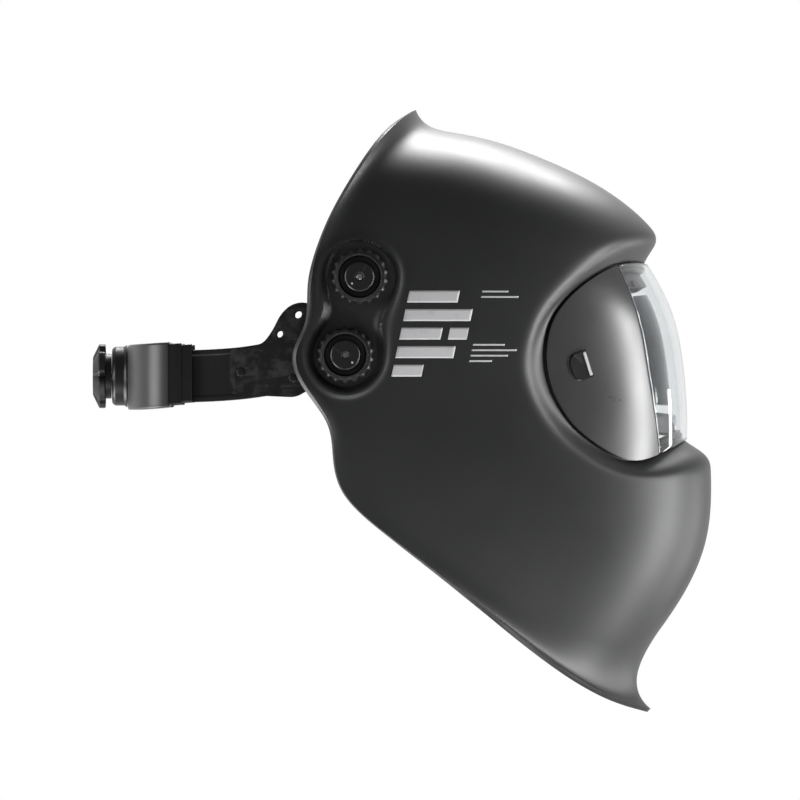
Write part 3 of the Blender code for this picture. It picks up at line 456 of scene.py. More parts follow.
def plastic(name, colour, roughness, grain, depth, spread, wear, sheen):
    """Moulded plastic: fine grain, soft patches in its gloss, and edges rubbed a little paler."""
    shader = Shader(name)
    patches = shader.noise(14.0, 4.0, 0.55)
    tone = shader.mottle(patches, 0.35, 0.65, scaled(colour, 0.9), scaled(colour, 1.12))
    rubbed = tuple(0.5 * c + 0.06 for c in colour)
    breakup = shader.span(shader.noise(160.0, 5.0, 0.6), 0.45, 0.62, 0.0, wear)
    worn = shader.math("MULTIPLY", shader.edges(), breakup)
    shader.set(base_color=shader.blend(worn, tone, rubbed), specular_ior_level=sheen)
    shader.gloss(38.0, roughness - spread, roughness + spread, 6.0, 0.6)
    pits = shader.span(shader.cells(grain * 0.6), 0, 1, 0, 0.6)
    grainy = shader.math("ADD", shader.noise(grain, 2.0), pits)
    shader.set(normal=shader.bump(grainy, depth))
    return shader.material


def clear_plastic(name, tint):
    """Clear polycarbonate with faint wiping marks."""
    shader = Shader(name)
    wiped = shader.noise(9.0, 6.0, 0.6, shader.stretched((1.0, 1.0, 7.0)))
    shader.set(base_color=shader.mottle(wiped, 0.4, 0.7, tint, scaled(tint, 0.97)))
    shader.set(roughness=shader.span(wiped, 0.5, 0.8, 0.0, 0.02))
    shader.set(transmission_weight=1.0, ior=1.5)
    scratches = shader.noise(60.0, 2.0, 0.4, shader.stretched((1.0, 2.0, 22.0)))
    shader.set(normal=shader.bump(scratches, 0.001, 0.3))
    return shader.material


def dark_glass(name, colour, tint):
    """A dark filter with a thin reflective film that shifts a little in colour."""
    shader = Shader(name)
    shader.set(base_color=shader.mottle(shader.noise(11.0), 0.3, 0.7, colour, tint))
    shader.gloss(30.0, 0.03, 0.09, 4.0)
    shader.set(specular_ior_level=0.25)
    return shader.material


def metal(name, colour, roughness, stretch):
    """Machined metal with fine lines along one direction."""
    shader = Shader(name)
    lines = shader.noise(900.0, 3.0, 0.6, shader.stretched(stretch))
    shader.set(base_color=shader.mottle(lines, 0.3, 0.7, scaled(colour, 0.86), colour))
    shader.gloss(70.0, roughness - 0.07, roughness + 0.09, 5.0, 0.6)
    shader.set(metallic=1.0, normal=shader.bump(lines, 0.012, 0.6))
    return shader.material


def rubber(name, colour):
    """Matt rubber with a little dust."""
    shader = Shader(name)
    dust = shader.span(shader.noise(55.0, 6.0, 0.65), 0.5, 0.75, 0.0, 0.5)
    shader.set(base_color=shader.blend(dust, colour, tuple(c * 1.5 + 0.012 for c in colour)))
    shader.gloss(25.0, 0.72, 0.9)
    shader.set(normal=shader.bump(shader.noise(1600.0, 2.0), 0.03))
    return shader.material


def cloth(name, colour, loop, fuzz):
    """Knitted cloth over foam: crossing rows of small loops, painted darker in their hollows as
    shade and paler on their crests as highlight, with a soft sheen.
    """
    shader = Shader(name)
    rows, slants = shader.wave(loop, "Z", 1.2), shader.wave(loop, "DIAGONAL", 1.2)
    knit = shader.math("MULTIPLY", rows, slants)
    tufts = shader.cells(loop * 4.5)
    height = shader.math("ADD", knit, shader.math("MULTIPLY", tufts, 0.6))
    # The knit's hollows are painted darker as shade and its crests paler as highlight.
    tone = shader.mottle(knit, 0.0, 1.0, scaled(colour, 0.6), scaled(colour, 1.35))
    patch = shader.span(shader.noise(18.0, 5.0, 0.6), 0.35, 0.7, 0.0, 0.5)
    shader.set(base_color=shader.blend(patch, tone, scaled(colour, 1.7)))
    shader.gloss(200.0, 0.85, 1.0)
    shader.set(sheen_weight=0.5, sheen_roughness=0.5, normal=shader.bump(height, fuzz))
    return shader.material


def circuit(name):
    """Green solder mask over a maze of tracks."""
    shader = Shader(name)
    grid = shader.add("ShaderNodeTexBrick", offset=0.37, squash=0.7)
    turned = shader.add("ShaderNodeMapping")
    shader.feed(turned.inputs["Vector"], shader.place)
    turned.inputs["Rotation"].default_value = (math.radians(90), 0.0, 0.0)
    shader.feed(grid.inputs["Vector"], turned.outputs["Vector"])
    grid.inputs["Scale"].default_value = 240.0
    grid.inputs["Mortar Size"].default_value = 0.06
    track = grid.outputs["Fac"]
    shader.set(base_color=shader.blend(track, (0.01, 0.07, 0.035), (0.03, 0.16, 0.07)))
    shader.gloss(80.0, 0.25, 0.4)
    shader.set(normal=shader.bump(track, 0.03), coat_weight=0.4, coat_roughness=0.2)
    return shader.material


def solar(name):
    """A dark cell crossed by fine pale conductor lines."""
    shader = Shader(name)
    lines = shader.span(shader.wave(90.0, "Y"), 0.93, 0.97, 0.0, 1.0)
    grain = shader.cells(420.0)
    tone = shader.mottle(grain, 0.0, 0.7, (0.008, 0.010, 0.035), (0.02, 0.03, 0.09))
    shader.set(base_color=shader.blend(lines, tone, (0.35, 0.36, 0.38)))
    shader.set(roughness=shader.span(grain, 0.0, 0.7, 0.12, 0.22))
    shader.set(coat_weight=0.8, coat_roughness=0.05)
    return shader.material


def ink(name, colour):
    """Screen-printed ink, thinning a little where it has rubbed."""
    shader = Shader(name)
    rub = shader.span(shader.noise(120.0, 6.0, 0.65), 0.58, 0.75, 0.0, 0.35)
    shader.set(base_color=shader.blend(rub, colour, scaled(colour, 0.45)))
    shader.gloss(300.0, 0.45, 0.6)
    shader.set(normal=shader.bump(shader.noise(1500.0, 2.0), 0.012))
    return shader.material


def thread(name, colour):
    """Twisted sewing thread, painted darker in the grooves of its twist as shade."""
    shader = Shader(name)
    twist = shader.wave(900.0, "DIAGONAL")
    # Painted shade: the grooves of the twist are darker.
    shader.set(base_color=shader.blend(twist, scaled(colour, 0.6), colour))
    shader.gloss(400.0, 0.7, 0.85)
    shader.set(normal=shader.bump(twist, 0.05))
    return shader.material


def make_materials():
    looks = {key: plastic(*row) for key, row in PLASTICS.items()}
    looks |= {
        "clear": clear_plastic("clear_plastic", (0.93, 0.95, 0.96)),
        "glass": dark_glass("filter_glass", (0.006, 0.010, 0.010), (0.010, 0.016, 0.022)),
        "sensor": dark_glass("sensor_glass", (0.012, 0.006, 0.010), (0.03, 0.012, 0.02)),
        "steel": metal("steel", (0.58, 0.58, 0.59), 0.28, (1.0, 14.0, 1.0)),
        "zinc": metal("zinc", (0.50, 0.50, 0.50), 0.36, (9.0, 1.0, 9.0)),
        "rubber": rubber("rubber", (0.012, 0.012, 0.012)),
        "cloth": cloth("sweatband_cloth", (0.020, 0.020, 0.022), 130.0, 0.35),
        "knit": cloth("nape_pad_cloth", (0.026, 0.026, 0.028), 90.0, 0.30),
        "board": circuit("solder_mask"),
        "cell": solar("solar_cell"),
        "ink": ink("printed_grey", (0.52, 0.52, 0.53)),
        "thread": thread("thread_grey", (0.10, 0.10, 0.105)),
    }
    return looks


# ---------------------------------------------------------------- meshes


def object_of(name, mesh, look, body, replaces=(), slot=None, smooth=40.0):
    """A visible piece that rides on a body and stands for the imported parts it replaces."""
    mesh.shade_smooth()
    mesh.set_sharp_from_angle(angle=math.radians(smooth))
    mesh.materials.append(LOOKS[look])
    obj = bpy.data.objects.new(name, mesh)
    bpy.context.scene.collection.objects.link(obj)
    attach(obj, body)
    if replaces:
        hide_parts(*replaces)
    return obj


def cleaned(mesh, closed=True):
    """The mesh with points that meet joined; a closed one is turned to face out."""
    bm = bmesh.new()
    bm.from_mesh(mesh)
    bmesh.ops.remove_doubles(bm, verts=bm.verts, dist=JOIN_DISTANCE)
    if closed:
        bmesh.ops.recalc_face_normals(bm, faces=bm.faces)
    bm.to_mesh(mesh)
    bm.free()
    return mesh


def new_mesh(name, vertices, faces, closed=True):
    """A mesh from vertices in millimetres."""
    mesh = bpy.data.meshes.new(name)
    mesh.from_pydata((np.asarray(vertices, float) * MM).tolist(), [], faces)
    return cleaned(mesh, closed)


def sheet_mesh(name, grid):
    """An open sheet through a grid of points, facing away from a point inside the helmet."""
    grid = np.asarray(grid, float)
    rows, columns = grid.shape[:2]
    a = (np.arange(rows - 1)[:, None] * columns + np.arange(columns - 1)).reshape(-1)
    faces = np.stack([a, a + columns, a + columns + 1, a + 1], axis=-1)
    i, j = (rows - 1) // 2, (columns - 1) // 2
    across = np.cross(grid[i + 1, j] - grid[i, j], grid[i, j + 1] - grid[i, j])
    if np.dot(across, grid[i, j] - np.array(INSIDE)) < 0:
        faces = faces[:, ::-1]
    return new_mesh(name, grid.reshape(-1, 3), faces.tolist(), closed=False)


def loft_mesh(name, sections, ring=False):
    """A solid through closed sections: capped at both ends, or a ring that ends where it began."""
    sections = np.asarray(sections, float)
    count, around = sections.shape[:2]
    faces = []
    for i in range(count if ring else count - 1):
        n = (i + 1) % count
        for j in range(around):
            m = (j + 1) % around
            faces.append((i * around + j, n * around + j, n * around + m, i * around + m))
    if not ring:
        faces.append(tuple(range(around)))
        faces.append(tuple(range((count - 1) * around, count * around))[::-1])
    return new_mesh(name, sections.reshape(-1, 3), faces)


# From the plane of an outline to the plane across each axis.
ACROSS = {
    "x": Matrix(((0, 0, 1, 0), (1, 0, 0, 0), (0, 1, 0, 0), (0, 0, 0, 1))),
    "y": Matrix(((1, 0, 0, 0), (0, 0, 1, 0), (0, 1, 0, 0), (0, 0, 0, 1))),
    "z": Matrix.Identity(4),
}


def outline_mesh(name, outline, axis, start, end):
    """A flat outline, in the plane across the axis, extruded between start and end."""
    curve = bpy.data.curves.new(name, "CURVE")
    curve.dimensions = "2D"
    curve.fill_mode = "BOTH"
    curve.extrude = MM * abs(end - start) / 2
    line = curve.splines.new("POLY")
    line.points.add(len(outline) - 1)
    for point, (u, v) in zip(line.points, outline):
        point.co = (MM * u, MM * v, 0.0, 1.0)
    line.use_cyclic_u = True
    drawn = bpy.data.objects.new(name, curve)
    mesh = bpy.data.meshes.new_from_object(drawn)
    bpy.data.objects.remove(drawn)
    mesh.transform(ACROSS[axis] @ Matrix.Translation((0.0, 0.0, MM * (start + end) / 2)))
    return cleaned(mesh)


def rounded_path(points, radius, steps=4, closed=False):
    """A path with each corner replaced by a small curve."""
    points = [np.array(p, float) for p in points]
    count = len(points)
    path = []
    for k, here in enumerate(points):
        if not closed and k in (0, count - 1):
            path.append(tuple(here))
            continue
        before, after = points[k - 1], points[(k + 1) % count]
        reach_in = min(radius, 0.45 * np.linalg.norm(before - here))
        reach_out = min(radius, 0.45 * np.linalg.norm(after - here))
        start = here + (before - here) / np.linalg.norm(before - here) * reach_in
        end = here + (after - here) / np.linalg.norm(after - here) * reach_out
        for t in np.linspace(0, 1, steps + 1):
            path.append(tuple((1 - t) ** 2 * start + 2 * t * (1 - t) * here + t**2 * end))
    return path


def turned_mesh(name, profile, axis, centre, around=72, lobes=0, depth=0.0, sharp=1.0):
    """A solid turned from (radius, height, share of the lobes) rows; off the axis it is a ring."""
    angles = np.linspace(0, 2 * math.pi, around, endpoint=False)
    wave = (0.5 + 0.5 * np.cos(lobes * angles)) ** sharp if lobes else np.zeros(around)
    rows = np.array([(*p, 0.0)[:3] for p in profile], float)
    radius = rows[:, 0, None] - depth * rows[:, 2, None] * wave
    height = np.broadcast_to(rows[:, 1, None], radius.shape)
    u, v = radius * np.cos(angles), radius * np.sin(angles)
    if axis == "x":
        grid = np.stack([height, centre[0] + u, centre[1] + v], axis=-1)
    else:
        grid = np.stack([centre[0] + u, height, centre[1] + v], axis=-1)
    return loft_mesh(name, grid, ring=profile[0][0] > 0)


def turned_side(name, profile, sign, centre, around=72):
    """A solid turned across the centre plane, its heights measured outwards on one side."""
    return turned_mesh(name, [(r, sign * y) for r, y in profile], "y", centre, around)


def tightened(rows, share):
    """A closed profile with extra rows close to its corners, which keep them crisp."""
    fine = []
    for here, after in zip(rows, rows[1:] + rows[:1]):
        here, after = np.array(here), np.array(after)
        fine += [tuple(here + (after - here) * t) for t in (0.0, share, 1 - share)]
    return fine


def outwards(sign, near, far):
    """Two distances from the centre plane on one side as values of Y, the lower first."""
    return sorted((sign * near, sign * far))


def modify(obj, name, kind, **settings):
    modifier = obj.modifiers.new(name, kind)
    for key, value in settings.items():
        setattr(modifier, key, value)
    return modifier


def thicken(obj, thickness):
    depth = MM * thickness
    modify(obj, "thickness", "SOLIDIFY", thickness=depth, offset=-1.0, use_even_offset=True)


def bevel(obj, width, segments=2, angle=35.0, material=-1):
    limit = {"limit_method": "ANGLE", "angle_limit": math.radians(angle)}
    modify(obj, "edges", "BEVEL", width=MM * width, segments=segments, material=material, **limit)


def mirror(obj):
    modify(obj, "other side", "MIRROR", use_axis=(False, True, False), merge_threshold=1e-5)


def carve(obj, *cutters, operation="DIFFERENCE", solver="EXACT"):
    """Cut each mesh out of the object, or join it on, and keep the result as its mesh."""
    helpers = []
    for mesh in cutters:
        helper = bpy.data.objects.new("cutter", mesh)
        bpy.context.scene.collection.objects.link(helper)
        modify(obj, "cut", "BOOLEAN", object=helper, operation=operation, solver=solver)
        helpers.append(helper)
    settle(obj)
    for helper in helpers:
        bpy.data.objects.remove(helper)


def settle(obj):
    """Make the modifiers' result the object's own mesh."""
    graph = bpy.context.evaluated_depsgraph_get()
    made = bpy.data.meshes.new_from_object(obj.evaluated_get(graph))
    obj.modifiers.clear()
    obj.data = made
    made.shade_smooth()
    made.set_sharp_from_angle(angle=math.radians(38))


def drill(axis, start, end, radius, centre, around=48):
    """A rod to cut a round hole with."""
    profile = [(0.0, start), (radius, start), (radius, end), (0.0, end)]
    return turned_mesh("drill", profile, axis, centre, around)


def soften(grid, row, reach, passes):
    """Round the crease along one row of a grid, fading out over the rows beside it."""
    weight = np.clip(1 - np.abs(np.arange(len(grid)) - row) / reach, 0, 1)[:, None, None]
    for _ in range(passes):
        smooth = grid.copy()
        smooth[1:-1] = (grid[:-2] + 2 * grid[1:-1] + grid[2:]) / 4
        grid = grid * (1 - weight) + smooth * weight
    return grid


# ---------------------------------------------------------------- the shell's form


def spline(knots, values, at):
    """A natural cubic spline through the knots, evaluated at a list of places."""
    x, y, at = (np.asarray(v, float) for v in (knots, values, at))
    if x[0] > x[-1]:
        x, y = x[::-1], y[::-1]
    n = len(x)
    step = np.diff(x)
    system = np.eye(n)
    right = np.zeros(n)
    for i in range(1, n - 1):
        system[i, i - 1 : i + 2] = step[i - 1], 2 * (step[i - 1] + step[i]), step[i]
        right[i] = 6 * ((y[i + 1] - y[i]) / step[i] - (y[i] - y[i - 1]) / step[i - 1])
    bend = np.linalg.solve(system, right)
    k = np.clip(np.searchsorted(x, at) - 1, 0, n - 2)
    a, b = x[k + 1] - at, at - x[k]
    curve = (bend[k] * a**3 + bend[k + 1] * b**3) / (6 * step[k])
    line = (y[k] / step[k] - bend[k] * step[k] / 6) * a
    return curve + line + (y[k + 1] / step[k] - bend[k + 1] * step[k] / 6) * b


def loop_spline(shares, values, at, odd=False):
    """A spline along one side of a loop, smooth where it meets its mirror image at both ends."""
    s, v = np.asarray(shares, float), np.asarray(values, float)
    sign = -1.0 if odd else 1.0
    s = np.concatenate([-s[3:0:-1], s, 2 - s[-2:-5:-1]])
    v = np.concatenate([sign * v[3:0:-1], v, sign * v[-2:-5:-1]])
    return spline(s, v, at)


class Dome:
    """A dome over a side outline: (angle, radius, fullness) rows and the half width behind."""

    def __init__(self, rows, half_width):
        self.angles, self.radii, self.fullness = np.array(rows, float).T
        self.half_width = half_width

    def point(self, roll, angle, inset=0.0):
        """The right side's point at a roll from the centre plane (radians) and angle (degrees)."""
        radius = spline(self.angles, self.radii, angle) - inset
        full = spline(self.angles, self.fullness, angle)
        across = (self.half_width - inset) * np.sin(roll) * (1 + full * np.cos(roll) ** 2)
        out = radius * np.cos(roll)
        tilt = np.radians(angle)
        return np.stack([FORM_X + out * np.cos(tilt), -across, out * np.sin(tilt)], axis=-1)

    def place(self, x, z):
        """The roll and angle of the point at x, z in the side view."""
        x, z = np.asarray(x, float), np.asarray(z, float)
        angle = np.degrees(np.arctan2(z, x - FORM_X))
        share = np.hypot(x - FORM_X, z) / spline(self.angles, self.radii, angle)
        return np.arccos(np.clip(share, -1, 1)), angle

    def loop(self, table, at):
        """Roll and angle along a loop given by X and Z, smooth over the centre plane."""
        shares, x, z = np.array(table, float).T
        roll, angle = self.place(x, z)
        roll[[0, -1]] = 0.0
        return loop_spline(shares, roll, at, odd=True), loop_spline(shares, angle, at)

    def surroundings(self, roll, angle):
        """The point at a roll and angle, a short step up from it and the normal out of the side."""
        here = self.point(roll, angle)
        ahead = self.point(roll - 0.01, angle) - here
        above = self.point(roll, angle + 0.5) - here
        out = np.cross(ahead, above)
        out /= np.linalg.norm(out, axis=-1, keepdims=True)
        return here, above, np.where(out[..., 1:2] > 0, -out, out)


SHELL_DOME = Dome(FORM, HALF_WIDTH)
VISOR_DOME = Dome(VISOR_FORM, VISOR_HALF_WIDTH)


def bezier(a, b, c, at):
    """Rows along the curves from each point of a to the same point of c, drawn towards b."""
    at = np.asarray(at, float)[:, None, None]
    return (1 - at) ** 2 * a + 2 * at * (1 - at) * b + at**2 * c


def pod_distance(x, z):
    """Distance outside the figure-eight outline of the pod, negative inside."""
    lower = np.hypot(x - PIVOT[0], z - PIVOT[1]) - POD_RADIUS
    upper = np.hypot(x - DIAL[0], z - DIAL[1]) - POD_RADIUS
    mix = np.clip(0.5 + 0.5 * (upper - lower) / POD_WAIST, 0, 1)
    return upper * (1 - mix) + lower * mix - POD_WAIST * mix * (1 - mix)


def smooth_step(v):
    v = np.clip(v, 0, 1)
    return v * v * (3 - 2 * v)


def press_pod(points):
    """Sink the pod's flat floor into the side and raise a soft lip round it."""
    away = pod_distance(points[..., 0], points[..., 2])
    sunk = smooth_step(-away / POD_SLOPE)
    lip = POD_LIP * np.exp(-((away - POD_LIP_OUT) / POD_LIP_WIDTH) ** 2)
    side = points[..., 1] - lip * (away > 0)
    points[..., 1] = side * (1 - sunk) - POD_FLOOR * sunk
    return points


def inward(roll, angle, distance):
    """Draw a place on the visor towards its middle by a distance in millimetres."""
    share = 1 - distance / VISOR_REACH
    return roll * (1 - distance / VISOR_REACH_ACROSS), VISOR_MIDDLE + (angle - VISOR_MIDDLE) * share


def shell_grid(shares, ledge, flange, body, flare):
    """Points of one side of the shell, from the visor's ledge out to the rim, for each share."""
    visor_roll, visor_angle = VISOR_DOME.loop(VISOR_EDGE, shares)
    edge_roll, edge_angle = SHELL_DOME.loop(WINDOW_EDGE, shares)
    start_roll, start_angle = SHELL_DOME.loop(FLARE_START, shares)
    inner = VISOR_DOME.point(*inward(visor_roll, visor_angle, LEDGE_WIDTH), LEDGE_DEPTH)
    corner = VISOR_DOME.point(visor_roll, visor_angle, LEDGE_DEPTH)
    lip = VISOR_DOME.point(visor_roll, visor_angle, LEDGE_WALL)
    edge = SHELL_DOME.point(edge_roll, edge_angle)
    foot = SHELL_DOME.point(edge_roll, edge_angle, FLANGE_SINK)
    steps = np.asarray(ledge, float)[:, None, None]
    rows = [inner * (1 - steps) + corner * steps]
    rows.append(bezier(lip, lip * (1 - FLANGE_PULL) + foot * FLANGE_PULL, edge, flange))
    t = np.asarray(body, float)[:, None]
    roll = edge_roll + (start_roll - edge_roll) * t
    rows.append(SHELL_DOME.point(roll, edge_angle + (start_angle - edge_angle) * t))
    start = SHELL_DOME.point(start_roll, start_angle)
    near_roll = edge_roll + (start_roll - edge_roll) * 0.98
    near_angle = edge_angle + (start_angle - edge_angle) * 0.98
    before = SHELL_DOME.point(near_roll, near_angle)
    heading = (start - before) / np.linalg.norm(start - before, axis=-1, keepdims=True)
    reach = np.interp(shares, *np.array(FLARE_REACH).T)[:, None]
    s, x, half, z = np.array(RIM).T
    half = loop_spline(s, half, shares, odd=True)
    rim = np.stack([loop_spline(s, x, shares), -half, loop_spline(s, z, shares)], axis=-1)
    rows.append(bezier(start, start + heading * reach, rim, flare))
    grid = np.concatenate(rows)
    crease = len(ledge) + len(flange) - 1
    grid = soften(grid, crease, 14, 60)
    grid = soften(grid, crease + len(body), 9, 12)
    grid = press_pod(grid)
    ends = [i for i, s in enumerate(shares) if s in (0.0, 1.0)]
    grid[:, ends, 1] = 0.0
    return grid


def runs(*parts):
    """Places along a line from (start, end, count) runs, each of which begins where one ended."""
    places = [np.linspace(*part)[:-1] for part in parts[:-1]]
    return np.concatenate([*places, np.linspace(*parts[-1])])


def helmet_shell():
    """One sheet from the visor's ledge to the rim, mirrored and thickened; finest round the pod."""
    shares = runs((0, 0.26, 60), (0.26, 0.5, 150), (0.5, 1, 130))
    body = runs((0, 0.08, 12), (0.08, 0.55, 40), (0.55, 1, 100))[1:]
    flange, flare = np.linspace(0, 1, 18), np.linspace(0, 1, 19)[1:]
    mesh = sheet_mesh("shell_form", shell_grid(shares, (0.0, 0.5, 1.0), flange, body, flare))
    shell = object_of("shell_form", mesh, "graphite", "shell", ["helmet_shell"], "shell")
    mirror(shell)
    thicken(shell, SHELL_THICKNESS)
    bevel(shell, 0.6, 3, 60.0)


def side_print():
    """A plain graphic of slanted bars and rules, printed on the right side."""
    for k, (x, z, length, height) in enumerate(PRINT_BARS):
        u, v = np.meshgrid(np.linspace(0, length, 26), np.linspace(0, -height, 7))
        place = SHELL_DOME.place(x + u + PRINT_SLANT * (v + z) * 0.5, z + v)
        here, _, out = SHELL_DOME.surroundings(*place)
        mesh = sheet_mesh("bar", here + out * PRINT_LIFT)
        bar = object_of(f"side_print_{k + 1}", mesh, "ink", "shell", slot="shell")
        thicken(bar, PRINT_THICKNESS)


# ---------------------------------------------------------------- the visor


def seam_roll(angle):
    """Roll of the seam between the clear lens and each cheek, in radians."""
    return np.radians(SEAM_ROLL - 0.022 * (np.asarray(angle, float) - VISOR_MIDDLE) ** 2)


def visor_edge(distance):
    """Roll and angle along the visor's edge, drawn in by a distance."""
    shares = np.linspace(0, 1, VISOR_EDGE_STEPS)
    return inward(*VISOR_DOME.loop(VISOR_EDGE, shares), distance)


def cheek_grid(down, across):
    """A cheek: rows run down the seam and the visor's edge, columns from the seam outwards."""
    roll, angle = visor_edge(VISOR_MARGIN)
    beyond = np.nonzero(roll > seam_roll(angle) + SEAM_GAP)[0]
    places = beyond[0] + (beyond[-1] - beyond[0]) * np.asarray(down, float)
    steps = np.arange(len(roll))
    edge_roll, edge_angle = np.interp(places, steps, roll), np.interp(places, steps, angle)
    seam_angle = edge_angle[0] + (edge_angle[-1] - edge_angle[0]) * np.asarray(down, float)
    seam = seam_roll(seam_angle) + SEAM_GAP
    t = np.asarray(across, float)[:, None]
    angles = seam_angle + (edge_angle - seam_angle) * t
    return VISOR_DOME.point(seam + (edge_roll - seam) * t, angles)


def lens_grid(down, across):
    """Half of the clear lens, columns from the centre plane to the seam."""
    roll, angle = visor_edge(VISOR_MARGIN)
    peak = int(np.argmax(roll))
    rows = []
    for u in across:
        top, low = angle[0], angle[-1]
        for _ in range(SEAM_STEPS):
            top = np.interp(u * (seam_roll(top) - SEAM_GAP), roll[:peak], angle[:peak])
            low = np.interp(u * (seam_roll(low) - SEAM_GAP), roll[:peak:-1], angle[:peak:-1])
        place = top + (low - top) * np.asarray(down, float)
        rows.append(VISOR_DOME.point(u * (seam_roll(place) - SEAM_GAP), place))
    return np.array(rows)


def patch(name, rolls, angles, inset, thickness, look, slot, across=40, down=16):
    """A patch of the visor's dome between two rolls and two angles in degrees."""
    roll, angle = np.meshgrid(np.radians(np.linspace(*rolls, across)), np.linspace(*angles, down))
    mesh = sheet_mesh(name, VISOR_DOME.point(roll, angle, inset))
    obj = object_of(name + "_form", mesh, look, "shell", [name], slot)
    thicken(obj, thickness)
    bevel(obj, min(0.3, thickness / 4))


def arc(centre, radius, start, end, count):
    angles = np.radians(np.linspace(start, end, count))
    return [(centre[0] + radius * math.cos(a), centre[1] + radius * math.sin(a)) for a in angles]


def rounded_box(half_u, half_v, corner, centre=(0.0, 0.0), steps=10):
    outline = []
    for su, sv, first in ((1, 1, 0), (-1, 1, 90), (-1, -1, 180), (1, -1, 270)):
        middle = (centre[0] + su * (half_u - corner), centre[1] + sv * (half_v - corner))
        outline += arc(middle, corner, first, first + 90, steps)
    return outline


def evenly(outline, count):
    """A closed outline with evenly spaced points, the first one repeated at the end."""
    points = np.array(outline + outline[:1], float)
    reached = along(points)
    at = np.linspace(0, reached[-1], count + 1)
    return np.stack([np.interp(at, reached, points[:, k]) for k in range(2)], axis=-1)


def frame_ring(name, opening, outside, inset, thickness):
    """A frame on the visor's dome between two rounded rectangles: roll, low angle, high angle."""
    loops = []
    for roll, low, high in (opening, outside):
        outline = rounded_box(roll, (high - low) / 2, 1.5, (0.0, (low + high) / 2))
        loops.append(evenly(outline, 160))
    rows = []
    for t in np.linspace(0, 1, 5):
        place = loops[0] * (1 - t) + loops[1] * t
        rows.append(VISOR_DOME.point(np.radians(place[:, 0]), place[:, 1], inset))
    mesh = sheet_mesh(name, np.array(rows))
    obj = object_of(name + "_form", mesh, "black", "shell", [name], "black_plastic")
    thicken(obj, thickness)
    bevel(obj, min(0.6, thickness / 4))


def latch_turn(side):
    """The frame of a latch: its own Z points out of the cheek, its Y up."""
    here, above, out = VISOR_DOME.surroundings(*VISOR_DOME.place(*LATCH))
    up = above / np.linalg.norm(above)
    across = np.cross(up, out)
    lean, level = math.sin(LATCH_LEAN), math.cos(LATCH_LEAN)
    across, up = across * level + up * lean, up * level - across * lean
    turn = Matrix([(*row, MM * h) for row, h in zip(np.array([across, up, out]).T, here)])
    turn.resize_4x4()
    turn[3] = (0, 0, 0, 1)
    if side == "left":
        flip = Matrix.Scale(-1, 4, (0, 1, 0))
        turn = flip @ turn @ Matrix.Scale(-1, 4, (1, 0, 0))
    return turn


def latch_outline(grow=0.0):
    """A D: straight at the front, round behind."""
    front, half = LATCH_SIZE[0] / 2 + grow, LATCH_SIZE[1] / 2 + grow
    outline = [(front, -half), (front, half)]
    for side, first in ((1, 90), (-1, 180)):
        centre = (LATCH_CORNER - front, side * (half - LATCH_CORNER))
        outline += arc(centre, LATCH_CORNER, first, first + 90, 16)
    return outline


def placed(mesh, turn):
    mesh.transform(turn)
    if turn.determinant() < 0:
        mesh.flip_normals()
    return mesh


def latch(side, turn):
    """A press button with a pale ridge along its straight front."""
    body = f"latch_{side}"
    mesh = placed(outline_mesh("latch", latch_outline(), "z", -3.0, 1.0), turn)
    button = object_of(
        f"latch_button_{side}", mesh, "latch", body, [f"lens_latch_{side}"], "black_plastic"
    )
    bevel(button, 0.7, 4)
    front = LATCH_SIZE[0] / 2
    half = LATCH_SIZE[1] / 2 - 0.6
    back, face = front - 2.0, front - 0.4
    outline = [(back, -half), (face, -half), (face, half), (back, half)]
    mesh = placed(outline_mesh("ridge", outline, "z", 0.2, 1.55), turn)
    ridge = object_of(f"latch_ridge_{side}", mesh, "bright", body, slot="black_plastic")
    bevel(ridge, 0.5, 3)


def cheek(side, grid):
    """A cheek with a pale edge, painted on its bevel as a highlight, and a hole for its latch."""
    mesh = sheet_mesh("cheek", grid)
    cover = object_of(
        f"cheek_{side}", mesh, "cheek", "shell", [f"cheek_cover_{side}"], "visor_cheek"
    )
    thicken(cover, CHEEK_THICKNESS)
    # The bevel round the cheek takes the pale edge colour: a painted highlight.
    cover.data.materials.append(LOOKS["edge"])
    bevel(cover, 0.5, 3, 50.0, material=1)
    turn = latch_turn(side)
    hole = outline_mesh("hole", latch_outline(0.5), "z", -6, 4)
    carve(cover, placed(hole, turn), solver="FAST")
    latch(side, turn)


def visor():
    """Both cheeks with their latches, the clear lens between them and the seal behind."""
    grid = cheek_grid(np.linspace(0, 1, 90), np.linspace(0, 1, 46))
    cheek("right", grid)
    cheek("left", grid * (1, -1, 1))
    grid = lens_grid(np.linspace(0, 1, 60), np.linspace(0, 1, 46))
    mesh = sheet_mesh("lens", grid)
    lens = object_of("clear_lens", mesh, "clear", "shell", ["cover_lens"], "clear_lens")
    mirror(lens)
    thicken(lens, LENS_THICKNESS)
    bevel(lens, 0.3, 2, 50.0)
    shares = np.linspace(0, 1, 160)
    place = VISOR_DOME.loop(VISOR_EDGE, shares)
    insets = (1.2, 2.0, 3.0, 3.8)
    seal = np.array([VISOR_DOME.point(*inward(*place, d), SEAL_INSET) for d in insets])
    seal[:, [0, -1], 1] = 0.0
    mesh = sheet_mesh("seal", seal)
    ring = object_of("seal_ring", mesh, "rubber", "shell", ["visor_seal"], "rubber")
    mirror(ring)
    thicken(ring, SEAL_THICKNESS)


